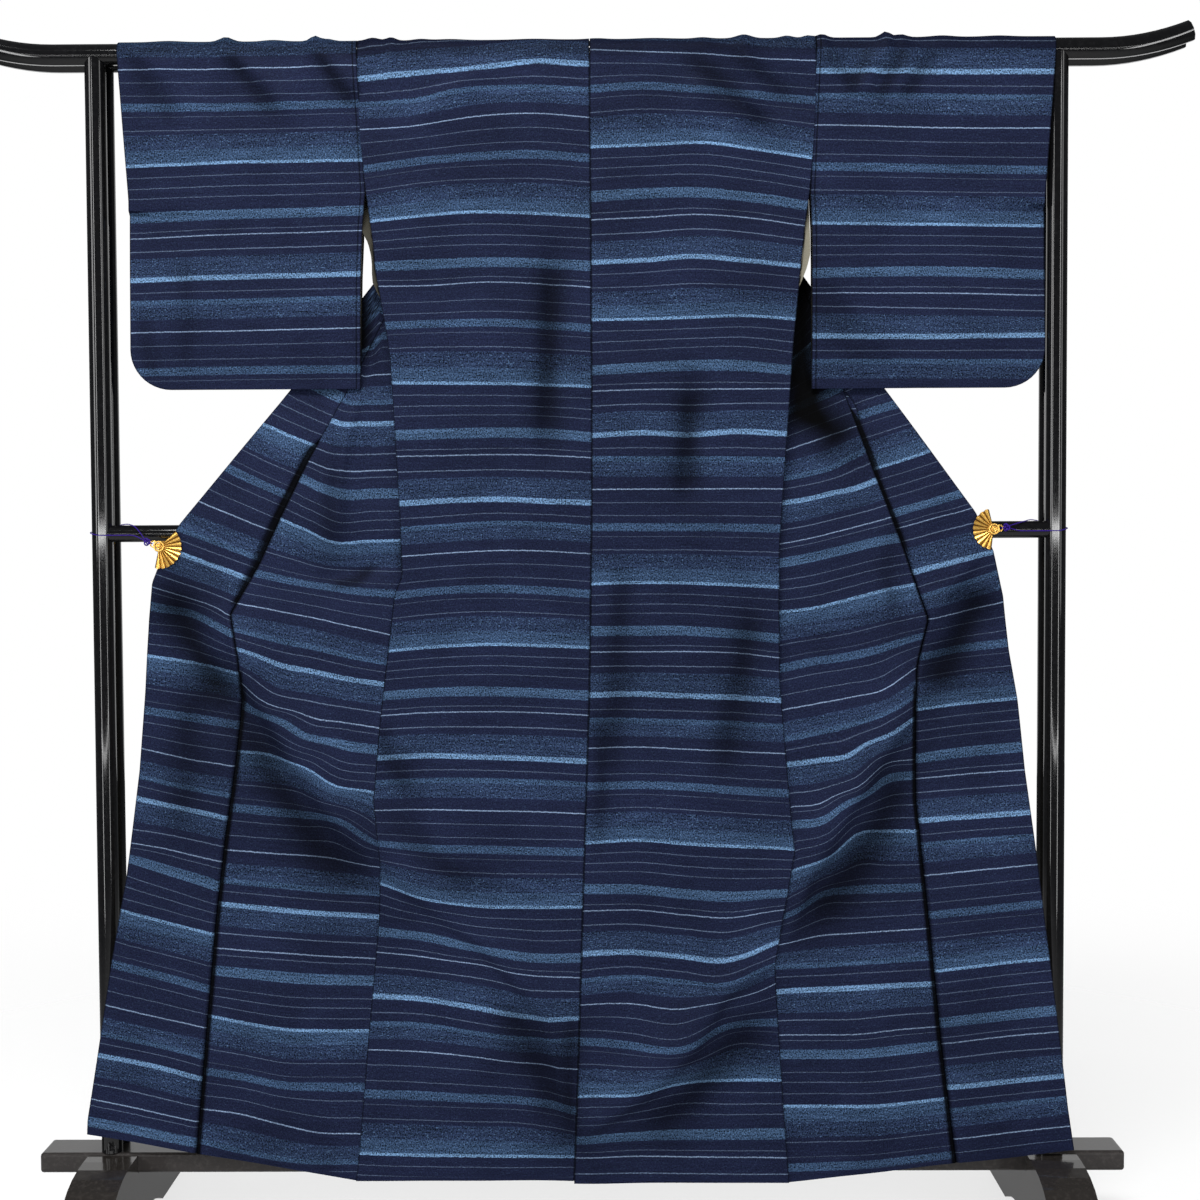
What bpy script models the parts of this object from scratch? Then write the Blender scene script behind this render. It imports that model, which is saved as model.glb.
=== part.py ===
"""Tsumugi kimono hung on a black lacquered kimono stand, seen from the back of the garment.

The front bar of the stand runs through both sleeves. The back hangs in front of the bar and the two
fronts behind it. Each front is folded back along a slanting line behind the back panel, comes forward
under the bar and is held out to the side by a gold clip, so its overlap panel spreads beyond the back.

X runs to the viewer's right, Y away from the viewer and Z up. The origin is on the floor under the
middle of the stand, halfway between its front and rear frames. Tables are in millimetres.
"""

import math

import bmesh
import bpy
import numpy as np
from mathutils import Matrix, Vector

MM = 0.001

# The stand
FRAME_Y = 21.0  # front frame at -FRAME_Y, rear frame at +FRAME_Y
TUBE_RADIUS = 15.0
UPRIGHT_X = 685.0
BAR_Z = 1702.0
BAR_STRAIGHT_X = 745.0
BAR_END_X = 873.0
BAR_END_RISE = 24.0
CROSSBAR_Z = 1020.0
CROSSBAR_RADIUS = 12.2
RAIL_HALF_LENGTH = 788.0
RAIL_HALF_DEPTH = 33.0
RAIL_BOTTOM_Z = 90.0
RAIL_TOP_Z = 119.0
RAIL_EDGE_RADIUS = 5.0
FOOT_X = 681.0
FOOT_WIDTH = 72.0
FOOT_REACH = 232.0  # from the middle of the foot to the tip of a toe
FOOT_TOP_Z = 116.0
FOOT_TOP_POWER = 4.2
FOOT_ARCH_REACH = 110.0
FOOT_ARCH_Z = 22.0
FOOT_ARCH_POWER = 2.6
JOINT_GAP = 0.3
COPE_ABOVE = 10.0  # how far a coped tube reaches past the near side of the tube that it meets

# The cloth
WALL = 1.5
SEAM_GAP = 0.7
LAYER_GAP = 0.3
COLLAR_GAP = 1.1
BAR_CLEARANCE = 0.75
WRAP_RADIUS = TUBE_RADIUS + BAR_CLEARANCE + WALL / 2
FRONT_FRAME_Y = -FRAME_Y
COLLAR_WIDTH = 55.0
COLLAR_WALL = 2.5
RELIEF_FADE = 120.0  # the folds fade out over this height below the bar

# The centre back seam, from the bar to the hem
CENTRE = {"z": [1702, 1207, 808, 635, 346, 200, 81], "x": [20, 21, 16, 10, 0, -5, -10]}

# One column of heights for each line that a side is drawn from; left is the viewer's left
LEFT = {
    "sign": -1,
    "side_z": [1702, 1503, 1434, 1389, 1314, 1264, 1179, 1048, 958, 932, 869, 739, 637, 551, 470, 303, 125, 84],
    "side_x": [-309, -298, -289, -285, -272, -265, -260, -253, -250, -261, -269, -285, -294, -284, -287, -304, -320, -325],
    "fold_z": [1702, 1643, 958],
    "fold_x": [-94, -82, -249],
    "seam_z": [1531, 1209, 1125, 1046, 973, 905, 842, 781, 699, 578, 452, 248, 127],
    "seam_x": [-172, -338, -385, -423, -457, -496, -484, -482, -490, -508, -524, -544, -555],
    "edge_z": [1643, 1531, 1371, 1209, 1032, 990, 950, 897, 796, 681, 526, 402, 268, 174, 153],
    "edge_x": [-82, -172, -298, -425, -570, -593, -609, -614, -620, -630, -651, -675, -697, -713, -714],
    "tip_z": 1643,
    "notch_z": 958,
    "kensaki_z": 1531,
    "hem_z": 84,
    "hem_slope": 0.176,
}
RIGHT = {
    "sign": 1,
    "side_z": [1702, 1501, 1450, 1394, 1283, 1072, 1002, 921, 805, 659, 561, 487, 399, 190, 80],
    "side_x": [340, 331, 324, 318, 307, 292, 287, 286, 287, 299, 308, 295, 279, 292, 300],
    "fold_z": [1702, 1665, 921],
    "fold_x": [118, 131, 285],
    "seam_z": [1404, 1205, 1100, 990, 893, 823, 769, 634, 449, 283, 104],
    "seam_x": [312, 388, 425, 466, 498, 482, 479, 481, 501, 518, 541],
    "edge_z": [1665, 1404, 1204, 1045, 990, 925, 848, 778, 676, 541, 338, 189, 125],
    "edge_x": [131, 312, 454, 567, 592, 606, 614, 626, 637, 656, 683, 701, 711],
    "tip_z": 1665,
    "notch_z": 921,
    "kensaki_z": 1404,
    "hem_z": 80,
    "hem_slope": 0.112,
}

# How far back each layer lies at a height: the back, a front's outer strip behind it, the same layer
# at its fold, and the flap that comes back from the fold
LAYERS = {
    "z": [1702, 1643, 1503, 1440, 1371, 1226, 1130, 1045, 958, 900, 739, 470, 80],
    "back": [-37.4, -38.2, -40, -41, -42.5, -47, -50, -52, -53, -53, -53, -52, -50],
    "side": [-4.6, -5.2, -9, -38, -40.7, -45.2, -48.2, -50.2, -51.2, -51.2, -51.2, -50.2, -48.2],
    "inner": [-4.6, -4.8, -7, -9, -14, -25, -37, -45.5, -47.2, -47.2, -47.2, -47.2, -47.2],
    "flap": [-1.2, -1.0, 0, -1.5, -6, -16, -30, -41, -43, -46, -49, -49, -47.5],
}

# The largest folds of the body, each along a line from (x0, z0) to (x1, z1); height is towards the viewer
FOLDS = [
    {"x0": -318, "z0": 1200, "x1": -340, "z1": 1030, "width": 24, "height": 7},
    {"x0": -478, "z0": 860, "x1": -300, "z1": 590, "width": 42, "height": 8},
    {"x0": -270, "z0": 540, "x1": -30, "z1": 180, "width": 60, "height": 9},
    {"x0": -575, "z0": 890, "x1": -520, "z1": 760, "width": 36, "height": -6},
    {"x0": 545, "z0": 960, "x1": 505, "z1": 890, "width": 32, "height": 5},
    {"x0": 572, "z0": 880, "x1": 545, "z1": 780, "width": 36, "height": -6},
    {"x0": 478, "z0": 780, "x1": 310, "z1": 500, "width": 42, "height": 8},
    {"x0": 270, "z0": 400, "x1": 150, "z1": 270, "width": 50, "height": 8},
    {"x0": 150, "z0": 270, "x1": 10, "z1": 170, "width": 60, "height": 7},
    {"x0": -36, "z0": 1410, "x1": -38, "z1": 1140, "width": 36, "height": -4},
    {"x0": 160, "z0": 1230, "x1": 160, "z1": 1070, "width": 34, "height": -4},
    {"x0": 222, "z0": 910, "x1": 222, "z1": 670, "width": 38, "height": -4},
]

# The rows of the panels, by their height at the side seam
BACK_ROWS = [84, 180, 260, 330, 400, 470, 510, 560, 610, 670, 739, 805, 869, 932, 990, 1048, 1120, 1179,
             1250, 1314, 1389, 1434, 1503, 1580, 1650]
FRONT_ROWS = [1600, 1550, 1503, 1465, 1434, 1389, 1330, 1280, 1226, 1179, 1120, 1070, 1020, 985]
LOW_ROWS = [-26, -60, -100, -150, -210, -270, -330, -390, -450, -520, -600, -680, -760, -820]
BACK_COLUMNS = 8
NECK_COLUMN = 2  # the columns of the back that end at the neck
WRAP_STEPS = 8
TURN_STEPS = 3
FLAP_COLUMNS = 5
OVERLAP_COLUMNS = 4

# The sleeves: inner edge at the armhole, outer edge at the cuff, both from the bar down
SLEEVES = {
    "left": {"z": [1702, 1640, 1494, 1282], "outer": [-650, -646, -637, -639], "inner_z": [1702, 1503, 1453, 1386, 1226],
             "inner": [-310, -299.5, -304, -307, -310], "bottom": 1226, "corner": 57},
    "right": {"z": [1702, 1640, 1486, 1275], "outer": [679, 675, 664, 668], "inner_z": [1702, 1502, 1446, 1223],
              "inner": [341, 332.5, 335, 335], "bottom": 1223, "corner": 57},
}
SLEEVE_ROWS = [0, 3, 12, 28, 57, 110, 180, 254, 320, 390, 440]  # above the bottom of the sleeve
SLEEVE_COLUMNS = 8
CUFF_BELOW_BAR = 225.0
SLEEVE_FRONT_IN = 7.0  # how far the front wall comes in at the bottom
SLEEVE_REAR_IN = 17.0
SLEEVE_FOLD = 4.0  # wall to wall where the sleeve is closed

# The collar's outer edge over the neck, and the way that each row turns as it goes round
COLLAR_NECK = {
    "x": [-72, -52, -22, 20, 64, 98, 119],
    "z": [1656, 1676, 1690, 1696, 1691, 1684, 1676],
    "turn": [15, 35, 62, 90, 118, 145, 165],
}
COLLAR_ENDS = {"left": 898, "right": 895}
COLLAR_INSET = 1.5

# The gold fan clips and the cords that tie them to the uprights
CLIPS = {
    "left": {"x": -604, "z": 1005, "radius": 34, "start": -92, "end": 34, "ring_x": -611.5, "ring_z": 1012.5},
    "right": {"x": 597, "z": 1025, "radius": 31, "start": 122, "end": 256, "ring_x": 606.2, "ring_z": 1030.3},
}
FAN_RIBS = 10
FAN_WALL = 0.9
FAN_PLEAT = 1.3
FAN_INNER_RADIUS = 7.0
BOSS_RADIUS = 6.0
JAW_SIZE = (24.0, 1.5, 15.0)
RING_RADIUS = 4.2
RING_WIRE = 1.0
CORD_RADIUS = 0.9
KNOT_RADIUS = 3.4
KNOT_OUT = 9.6  # from the ring's middle to the knot's
LOOP_RADIUS = 2.6

# Colours, with roughness and metallic values
FINISHES = {
    "indigo_tsumugi": ((0.020, 0.025, 0.070), 0.85, 0.0),
    "black_lacquer": ((0.006, 0.006, 0.007), 0.16, 0.0),
    "satin_black": ((0.050, 0.050, 0.052), 0.38, 0.0),
    "gold_plate": ((0.90, 0.62, 0.20), 0.28, 1.0),
    "purple_cord": ((0.10, 0.02, 0.32), 0.60, 0.0),
}


def clear_scene():
    for obj in list(bpy.data.objects):
        bpy.data.objects.remove(obj, do_unlink=True)


def new_collection(name):
    collection = bpy.data.collections.new(name)
    bpy.context.scene.collection.children.link(collection)
    return collection


def finish(obj, finish_name):
    """Give the object a material of its own."""
    colour, roughness, metallic = FINISHES[finish_name]
    material = bpy.data.materials.new(f"{obj.name}_{finish_name}")
    material.use_nodes = True
    shader = material.node_tree.nodes["Principled BSDF"]
    shader.inputs["Base Color"].default_value = (*colour, 1.0)
    shader.inputs["Roughness"].default_value = roughness
    shader.inputs["Metallic"].default_value = metallic
    obj.data.materials.append(material)
    return obj


def object_from(bm, name, collection, smooth=True):
    mesh = bpy.data.meshes.new(name)
    bm.to_mesh(mesh)
    bm.free()
    obj = bpy.data.objects.new(name, mesh)
    collection.objects.link(obj)
    if smooth:
        mesh.shade_smooth()
        mesh.set_sharp_from_angle(angle=math.radians(40))
    return obj


def curve_to_mesh(obj):
    """Replace a curve object by its evaluated mesh, with the caps welded on."""
    graph = bpy.context.evaluated_depsgraph_get()
    mesh = bpy.data.meshes.new_from_object(obj.evaluated_get(graph))
    bm = bmesh.new()
    bm.from_mesh(mesh)
    bmesh.ops.remove_doubles(bm, verts=bm.verts, dist=1e-6)
    bm.to_mesh(mesh)
    bm.free()
    mesh.transform(obj.matrix_world)
    name, collection = obj.name, obj.users_collection[0]
    bpy.data.objects.remove(obj, do_unlink=True)
    made = bpy.data.objects.new(name, mesh)
    collection.objects.link(made)
    return made


def solidify(obj, wall, offset=0.0):
    modifier = obj.modifiers.new("wall", "SOLIDIFY")
    modifier.thickness = wall * MM
    modifier.offset = offset
    modifier.use_rim = True
    return obj


def boolean(obj, other, operation):
    modifier = obj.modifiers.new(operation.lower(), "BOOLEAN")
    modifier.operation = operation
    modifier.object = other
    return obj


def hide_helper(obj):
    obj.hide_render = True
    obj.display_type = "WIRE"
    return obj


def along(table, column, height, height_column="z"):
    """The value of a column at a height, straight between the rows of the table."""
    heights = np.asarray(table[height_column], float)
    values = np.asarray(table[column], float)
    order = np.argsort(heights)
    return float(np.interp(height, heights[order], values[order]))


def smooth_step(low, high, value):
    t = min(max((value - low) / (high - low), 0.0), 1.0)
    return t * t * (3 - 2 * t)


def relief(x, z):
    """How far the folds lift the cloth towards the viewer at a place."""
    total = 0.0
    for fold in FOLDS:
        run_x, run_z = fold["x1"] - fold["x0"], fold["z1"] - fold["z0"]
        share = ((x - fold["x0"]) * run_x + (z - fold["z0"]) * run_z) / (run_x**2 + run_z**2)
        share = min(max(share, 0.0), 1.0)
        away = math.hypot(x - fold["x0"] - share * run_x, z - fold["z0"] - share * run_z)
        total += fold["height"] * math.exp(-((away / fold["width"]) ** 2))
    return total * (1 - smooth_step(BAR_Z - 2 * RELIEF_FADE, BAR_Z - RELIEF_FADE, z))


def grid_mesh(rows, skip=()):
    """An open surface through rows of points; skip holds (row, column) cells that are left out."""
    bm = bmesh.new()
    verts = [[bm.verts.new(Vector(point) * MM) for point in row] for row in rows]
    for i in range(len(rows) - 1):
        for j in range(len(rows[i]) - 1):
            if (i, j) not in skip:
                bm.faces.new((verts[i][j], verts[i][j + 1], verts[i + 1][j + 1], verts[i + 1][j]))
    return bm, verts


def weld_points(bm):
    """Merge the points that rows share where a panel runs out to a tip, and drop unused ones."""
    bmesh.ops.remove_doubles(bm, verts=bm.verts, dist=1e-5)
    loose = [vert for vert in bm.verts if not vert.link_faces]
    bmesh.ops.delete(bm, geom=loose, context="VERTS")
    bmesh.ops.recalc_face_normals(bm, faces=bm.faces)
    return bm


def side_x(side, z):
    return along(side, "side_x", z, "side_z")


def fold_x(side, z):
    return along(side, "fold_x", z, "fold_z")


def seam_x(side, z):
    return along(side, "seam_x", z, "seam_z")


def edge_x(side, z):
    return along(side, "edge_x", z, "edge_z")


def row_slope(side, z):
    """The fronts' rows rise outwards near the hem, as the weft does, and are level higher up."""
    return side["hem_slope"] * (1 - smooth_step(850.0, 1150.0, z))


def meet(line, side, start_x, start_z, slope):
    """Where a row that starts at a point and rises outwards meets a line of the side."""
    z = start_z
    for _ in range(12):
        z = start_z + slope * abs(line(side, z) - start_x)
    return line(side, z), z


def wrap_point(x, angle):
    """A point of the cloth over the front bar: angle 0 is in front, 90 on top and 180 behind."""
    return (x, FRONT_FRAME_Y - WRAP_RADIUS * math.cos(angle), BAR_Z + WRAP_RADIUS * math.sin(angle))


def back_row(side, z):
    """From the centre back seam to the side seam."""
    inner = along(CENTRE, "x", z) + side["sign"] * SEAM_GAP / 2
    outer = side_x(side, z)
    y = along(LAYERS, "back", z)
    points = []
    for j in range(BACK_COLUMNS + 1):
        x = inner + (outer - inner) * j / BACK_COLUMNS
        points.append((x, y - relief(x, z), z))
    return points


def top_columns(side):
    """Where the columns of the back and the front cross the bar."""
    centre = along(CENTRE, "x", BAR_Z) + side["sign"] * SEAM_GAP / 2
    neck, arm = fold_x(side, BAR_Z), side_x(side, BAR_Z)
    columns = [centre + (neck - centre) * j / NECK_COLUMN for j in range(NECK_COLUMN)]
    rest = BACK_COLUMNS - NECK_COLUMN
    return columns + [neck + (arm - neck) * j / rest for j in range(rest + 1)]


def front_row(side, z):
    """From the side seam in to the fold, round it, and out along the flap to the overlap seam."""
    outer, folded = side_x(side, z), fold_x(side, z)
    runs_in = BACK_COLUMNS - NECK_COLUMN
    level_side, level_in = along(LAYERS, "side", z), along(LAYERS, "inner", z)
    level_flap = along(LAYERS, "flap", z)
    below = z < side["notch_z"]
    points = []
    for j in range(runs_in + 1):
        share = j / runs_in
        x = outer if below else outer + (folded - outer) * share
        y = level_side if below else level_side + (level_in - level_side) * smooth_step(0, 1, share)
        points.append((x, y - relief(x, z), z))
    x, y, _ = points[-1]
    y += relief(x, z)
    line = edge_x if z >= side["kensaki_z"] else seam_x
    slope = row_slope(side, z)
    seam, seam_z = meet(line, side, outer, z, slope) if below else (line(side, z), z)
    radius = max((level_flap - y) / 2, 0.0)
    for j in range(1, TURN_STEPS + 1):
        angle = math.pi * j / TURN_STEPS
        if below:
            reach = 8.0 * (1 - math.cos(angle / 2))
            turn_x = x + side["sign"] * reach
            turn_y = y + (level_flap - y) * (1 - math.cos(angle)) / 2
        else:
            turn_x = x - side["sign"] * radius * math.sin(angle)
            turn_y = y + radius * (1 - math.cos(angle))
        points.append((turn_x, turn_y - relief(turn_x, z), z + slope * abs(turn_x - x)))
    start_x, _, start_z = points[-1]
    seam -= side["sign"] * SEAM_GAP / 2
    for j in range(1, FLAP_COLUMNS + 1):
        share = j / FLAP_COLUMNS
        flap_x = start_x + (seam - start_x) * share
        flap_z = start_z + (seam_z - start_z) * share
        flap_y = along(LAYERS, "flap", flap_z) - relief(flap_x, flap_z)
        points.append((flap_x, flap_y, flap_z))
    return points


def build_body(name, side, collection):
    """One length of cloth from the back hem over the bar to the front hem, with no shoulder seam."""
    runs_in = BACK_COLUMNS - NECK_COLUMN
    across = runs_in + TURN_STEPS + FLAP_COLUMNS
    rows = [back_row(side, max(z, side["hem_z"])) for z in BACK_ROWS]
    columns = top_columns(side)
    for i in range(WRAP_STEPS + 1):
        rows.append([wrap_point(x, math.pi * i / WRAP_STEPS) for x in columns])
    back_count = len(rows)
    low = [side["notch_z"] + step for step in LOW_ROWS if side["notch_z"] + step > side["hem_z"] + 20]
    heights = [side["tip_z"], *FRONT_ROWS, side["kensaki_z"] + 0.01, side["notch_z"], *low, side["hem_z"]]
    heights = sorted(set(heights), reverse=True)
    bm, verts = grid_mesh(rows, {(back_count - 1, j) for j in range(NECK_COLUMN)})
    last = list(reversed(verts[-1][NECK_COLUMN:]))
    for z in heights:
        points = front_row(side, z)
        if z >= side["tip_z"]:
            points = points[: runs_in + 1] + [points[runs_in]] * (across - runs_in)
        if z == side["notch_z"]:
            points = [points[0]] * runs_in + points[runs_in:]
        line = [bm.verts.new(Vector(point) * MM) for point in points]
        for j in range(min(len(last), len(line)) - 1):
            bm.faces.new((last[j], last[j + 1], line[j + 1], line[j]))
        last = line
    obj = object_from(weld_points(bm), name, collection)
    solidify(obj, WALL)
    return finish(obj, "indigo_tsumugi")


def overlap_row(side, z):
    """From the overlap seam out to the front edge, on the row that starts at height z of the side seam."""
    slope = row_slope(side, z)
    below = z < side["notch_z"]
    start_x, start_z = meet(seam_x, side, side_x(side, z), z, slope) if below else (seam_x(side, z), z)
    end_x, end_z = meet(edge_x, side, start_x, start_z, slope)
    start_x += side["sign"] * SEAM_GAP / 2
    points = []
    for j in range(OVERLAP_COLUMNS + 1):
        share = j / OVERLAP_COLUMNS
        x, height = start_x + (end_x - start_x) * share, start_z + (end_z - start_z) * share
        points.append((x, along(LAYERS, "flap", height) - relief(x, height), height))
    return points


def build_overlap(name, side, collection):
    low = [side["notch_z"] + step for step in LOW_ROWS if side["notch_z"] + step > side["hem_z"] + 20]
    heights = [z for z in FRONT_ROWS if z < side["kensaki_z"] - 20] + [side["notch_z"], *low, side["hem_z"]]
    rows = [overlap_row(side, z) for z in heights]
    top = overlap_row(side, side["kensaki_z"] - 12)
    bm, _ = grid_mesh([top, *rows])
    obj = object_from(weld_points(bm), name, collection)
    solidify(obj, WALL)
    return finish(obj, "indigo_tsumugi")


def sleeve_row(sleeve, above, front):
    """A row of the sleeve's front or rear wall, from the inner edge to the cuff side."""
    bottom, corner = sleeve["bottom"], sleeve["corner"]
    z = bottom + above
    inner = along(sleeve, "inner", z, "inner_z")
    outer = along(sleeve, "outer", max(z, bottom + corner))
    sign = math.copysign(1, outer)
    if above < corner:
        outer -= sign * (corner - math.sqrt(corner**2 - (corner - above) ** 2))
    drop = (BAR_Z - z) / (BAR_Z - bottom)
    wall_front = FRONT_FRAME_Y - WRAP_RADIUS + SLEEVE_FRONT_IN * drop**1.5
    wall_rear = FRONT_FRAME_Y + WRAP_RADIUS - SLEEVE_REAR_IN * drop**1.5
    middle = FRONT_FRAME_Y - 4.0
    points = []
    for j in range(SLEEVE_COLUMNS + 1):
        share = j / SLEEVE_COLUMNS
        x = inner + (outer - inner) * share
        closed_side = smooth_step(0.62, 1.0, share) if z < BAR_Z - CUFF_BELOW_BAR else 0.0
        closed_low = 1 - smooth_step(0.0, 1.0, above / 70.0)
        closed = 1 - (1 - closed_side) * (1 - closed_low)
        wall = wall_front if front else wall_rear
        shut = middle + (-SLEEVE_FOLD / 2 if front else SLEEVE_FOLD / 2)
        points.append((x, wall + (shut - wall) * closed, z))
    return points


def build_sleeve(name, sleeve, collection):
    """A flat bag that the bar runs through: open at the cuff, at the armhole and below the armhole."""
    front = [sleeve_row(sleeve, above, True) for above in SLEEVE_ROWS]
    rear = [sleeve_row(sleeve, above, False) for above in reversed(SLEEVE_ROWS)]
    inner = along(sleeve, "inner", BAR_Z, "inner_z")
    outer = along(sleeve, "outer", BAR_Z)
    columns = [inner + (outer - inner) * j / SLEEVE_COLUMNS for j in range(SLEEVE_COLUMNS + 1)]
    wrap = [
        [wrap_point(x, math.pi * i / WRAP_STEPS) for x in columns] for i in range(WRAP_STEPS + 1)
    ]
    rows = front + wrap + rear
    bm, verts = grid_mesh(rows)
    for j in range(SLEEVE_COLUMNS):
        bm.faces.new((verts[-1][j], verts[-1][j + 1], verts[0][j + 1], verts[0][j]))
    for i, above in enumerate(SLEEVE_ROWS[:-1]):
        if sleeve["bottom"] + SLEEVE_ROWS[i + 1] <= BAR_Z - CUFF_BELOW_BAR + 1:
            bm.faces.new((verts[i][-1], verts[i + 1][-1], verts[-2 - i][-1], verts[-1 - i][-1]))
    obj = object_from(weld_points(bm), name, collection)
    solidify(obj, WALL)
    return finish(obj, "indigo_tsumugi")


def flap_row(side, z):
    """The flap and the overlap together, from the fold out to the front edge, on one row."""
    points = front_row(side, z)[BACK_COLUMNS - NECK_COLUMN + TURN_STEPS :]
    if z < side["kensaki_z"] - 12:
        points += overlap_row(side, z)
    return points


def collar_row(side, z):
    """The band's outer edge, middle and inner edge, laid behind the flap on its own row."""
    points = flap_row(side, z)
    order = sorted(points, key=lambda point: point[0])
    xs, ys, zs = (np.array([point[k] for point in order]) for k in range(3))
    slant = abs(edge_x(side, z + 30) - edge_x(side, z - 30)) / 60
    width = COLLAR_WIDTH * math.hypot(1, slant)
    edge = points[-1][0] - side["sign"] * COLLAR_INSET
    row = []
    for share in (0, 0.25, 0.5, 0.75, 1):
        x = edge - side["sign"] * width * share
        y = np.interp(x, xs, ys) + WALL / 2 + COLLAR_GAP + COLLAR_WALL / 2
        row.append((x, float(y), float(np.interp(x, xs, zs))))
    return row


def neck_rows():
    """Rows that turn with the band as it passes behind the bar at the neck."""
    rows = []
    behind = along(LAYERS, "flap", BAR_Z) + WALL / 2 + COLLAR_GAP + COLLAR_WALL / 2
    for x, z, turn in zip(COLLAR_NECK["x"], COLLAR_NECK["z"], COLLAR_NECK["turn"]):
        way_x, way_z = math.cos(math.radians(turn)), -math.sin(math.radians(turn))
        reaches = (0, 0.25, 0.5, 0.75, 1)
        rows.append([
            (x + way_x * COLLAR_WIDTH * share, behind, z + way_z * COLLAR_WIDTH * share) for share in reaches
        ])
    return rows


def collar_heights(side, end):
    rows = [z for z in FRONT_ROWS if end < z < side["tip_z"] - 25]
    rows += [side["notch_z"], *(side["notch_z"] + step for step in LOW_ROWS)]
    return sorted(z for z in set(rows) if z >= end)


def build_collar(name, collection):
    """One band from the left clip round the neck to the right clip, turned to the inside."""
    left = [collar_row(LEFT, z) for z in collar_heights(LEFT, COLLAR_ENDS["left"])]
    right = [collar_row(RIGHT, z) for z in collar_heights(RIGHT, COLLAR_ENDS["right"])]
    bm, _ = grid_mesh(left + neck_rows() + right[::-1])
    obj = object_from(weld_points(bm), name, collection)
    solidify(obj, COLLAR_WALL)
    return finish(obj, "indigo_tsumugi")


def tube(name, points, radius, collection, cyclic=False, sides=12):
    """A round tube along a line of points, as a curve with a bevel."""
    curve = bpy.data.curves.new(name, "CURVE")
    curve.dimensions = "3D"
    curve.bevel_depth = radius * MM
    curve.bevel_resolution = sides // 4 - 1 if sides > 8 else 2
    curve.use_fill_caps = True
    spline = curve.splines.new("POLY")
    spline.points.add(len(points) - 1)
    for point, (x, y, z) in zip(spline.points, points):
        point.co = (x * MM, y * MM, z * MM, 1.0)
    spline.use_cyclic_u = cyclic
    obj = bpy.data.objects.new(name, curve)
    collection.objects.link(obj)
    return obj


def cylinder(name, start, end, radius, collection, sides=24):
    """A closed cylinder between two points."""
    bm = bmesh.new()
    start, end = Vector(start), Vector(end)
    axis = end - start
    bmesh.ops.create_cone(
        bm, cap_ends=True, segments=sides, radius1=radius * MM, radius2=radius * MM, depth=axis.length * MM
    )
    turn = Vector((0, 0, 1)).rotation_difference(axis).to_matrix().to_4x4()
    bm.transform(Matrix.Translation((start + end) / 2 * MM) @ turn)
    return object_from(bm, name, collection)


def box(name, size, centre, collection):
    bm = bmesh.new()
    bmesh.ops.create_cube(bm, size=1.0)
    bm.transform(Matrix.Translation(Vector(centre) * MM) @ Matrix.Diagonal(Vector(size) * MM).to_4x4())
    return object_from(bm, name, collection, smooth=False)


def bar_points(y):
    """The bar is straight over the uprights and turns up at both ends."""
    bend = BAR_END_X - BAR_STRAIGHT_X
    ends = []
    for step in range(9):
        share = step / 8
        ends.append((BAR_STRAIGHT_X + bend * share, BAR_Z + BAR_END_RISE * share**2))
    right = [(x, y, z) for x, z in ends]
    left = [(-x, y, z) for x, z in reversed(ends)]
    return left + right


def build_bars(collection):
    for name, y in (("front_bar", -FRAME_Y), ("rear_bar", FRAME_Y)):
        finish(tube(name, bar_points(y), TUBE_RADIUS, collection, sides=16), "black_lacquer")


def build_uprights(collection, cutters):
    """Two uprights a frame, coped to the bar at the top and standing on the rail."""
    for frame, y in (("front", -FRAME_Y), ("rear", FRAME_Y)):
        cutter = cylinder(
            f"{frame}_bar_cope", (-800, y, BAR_Z), (800, y, BAR_Z), TUBE_RADIUS + 2 * JOINT_GAP, cutters, 32
        )
        hide_helper(cutter)
        for side, sign in (("left", -1), ("right", 1)):
            top = BAR_Z - TUBE_RADIUS + COPE_ABOVE
            upright = cylinder(
                f"{frame}_upright_{side}",
                (sign * UPRIGHT_X, y, RAIL_TOP_Z + JOINT_GAP),
                (sign * UPRIGHT_X, y, top),
                TUBE_RADIUS,
                collection,
            )
            boolean(upright, cutter, "DIFFERENCE")
            finish(upright, "black_lacquer")


def build_crossbar(collection, cutters):
    reach = UPRIGHT_X - TUBE_RADIUS + COPE_ABOVE / 2
    crossbar = cylinder(
        "crossbar", (-reach, -FRAME_Y, CROSSBAR_Z), (reach, -FRAME_Y, CROSSBAR_Z), CROSSBAR_RADIUS, collection
    )
    for side, sign in (("left", -1), ("right", 1)):
        cutter = cylinder(
            f"crossbar_cope_{side}",
            (sign * UPRIGHT_X, -FRAME_Y, CROSSBAR_Z - 40),
            (sign * UPRIGHT_X, -FRAME_Y, CROSSBAR_Z + 40),
            TUBE_RADIUS + 1.5 * JOINT_GAP,
            cutters,
            32,
        )
        boolean(crossbar, hide_helper(cutter), "DIFFERENCE")
    finish(crossbar, "black_lacquer")


def build_rail(collection):
    size = (2 * RAIL_HALF_LENGTH, 2 * RAIL_HALF_DEPTH, RAIL_TOP_Z - RAIL_BOTTOM_Z)
    rail = box("rail", size, (0, 0, (RAIL_TOP_Z + RAIL_BOTTOM_Z) / 2), collection)
    bevel = rail.modifiers.new("edges", "BEVEL")
    bevel.width = RAIL_EDGE_RADIUS * MM
    bevel.segments = 3
    finish(rail, "satin_black")


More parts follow.
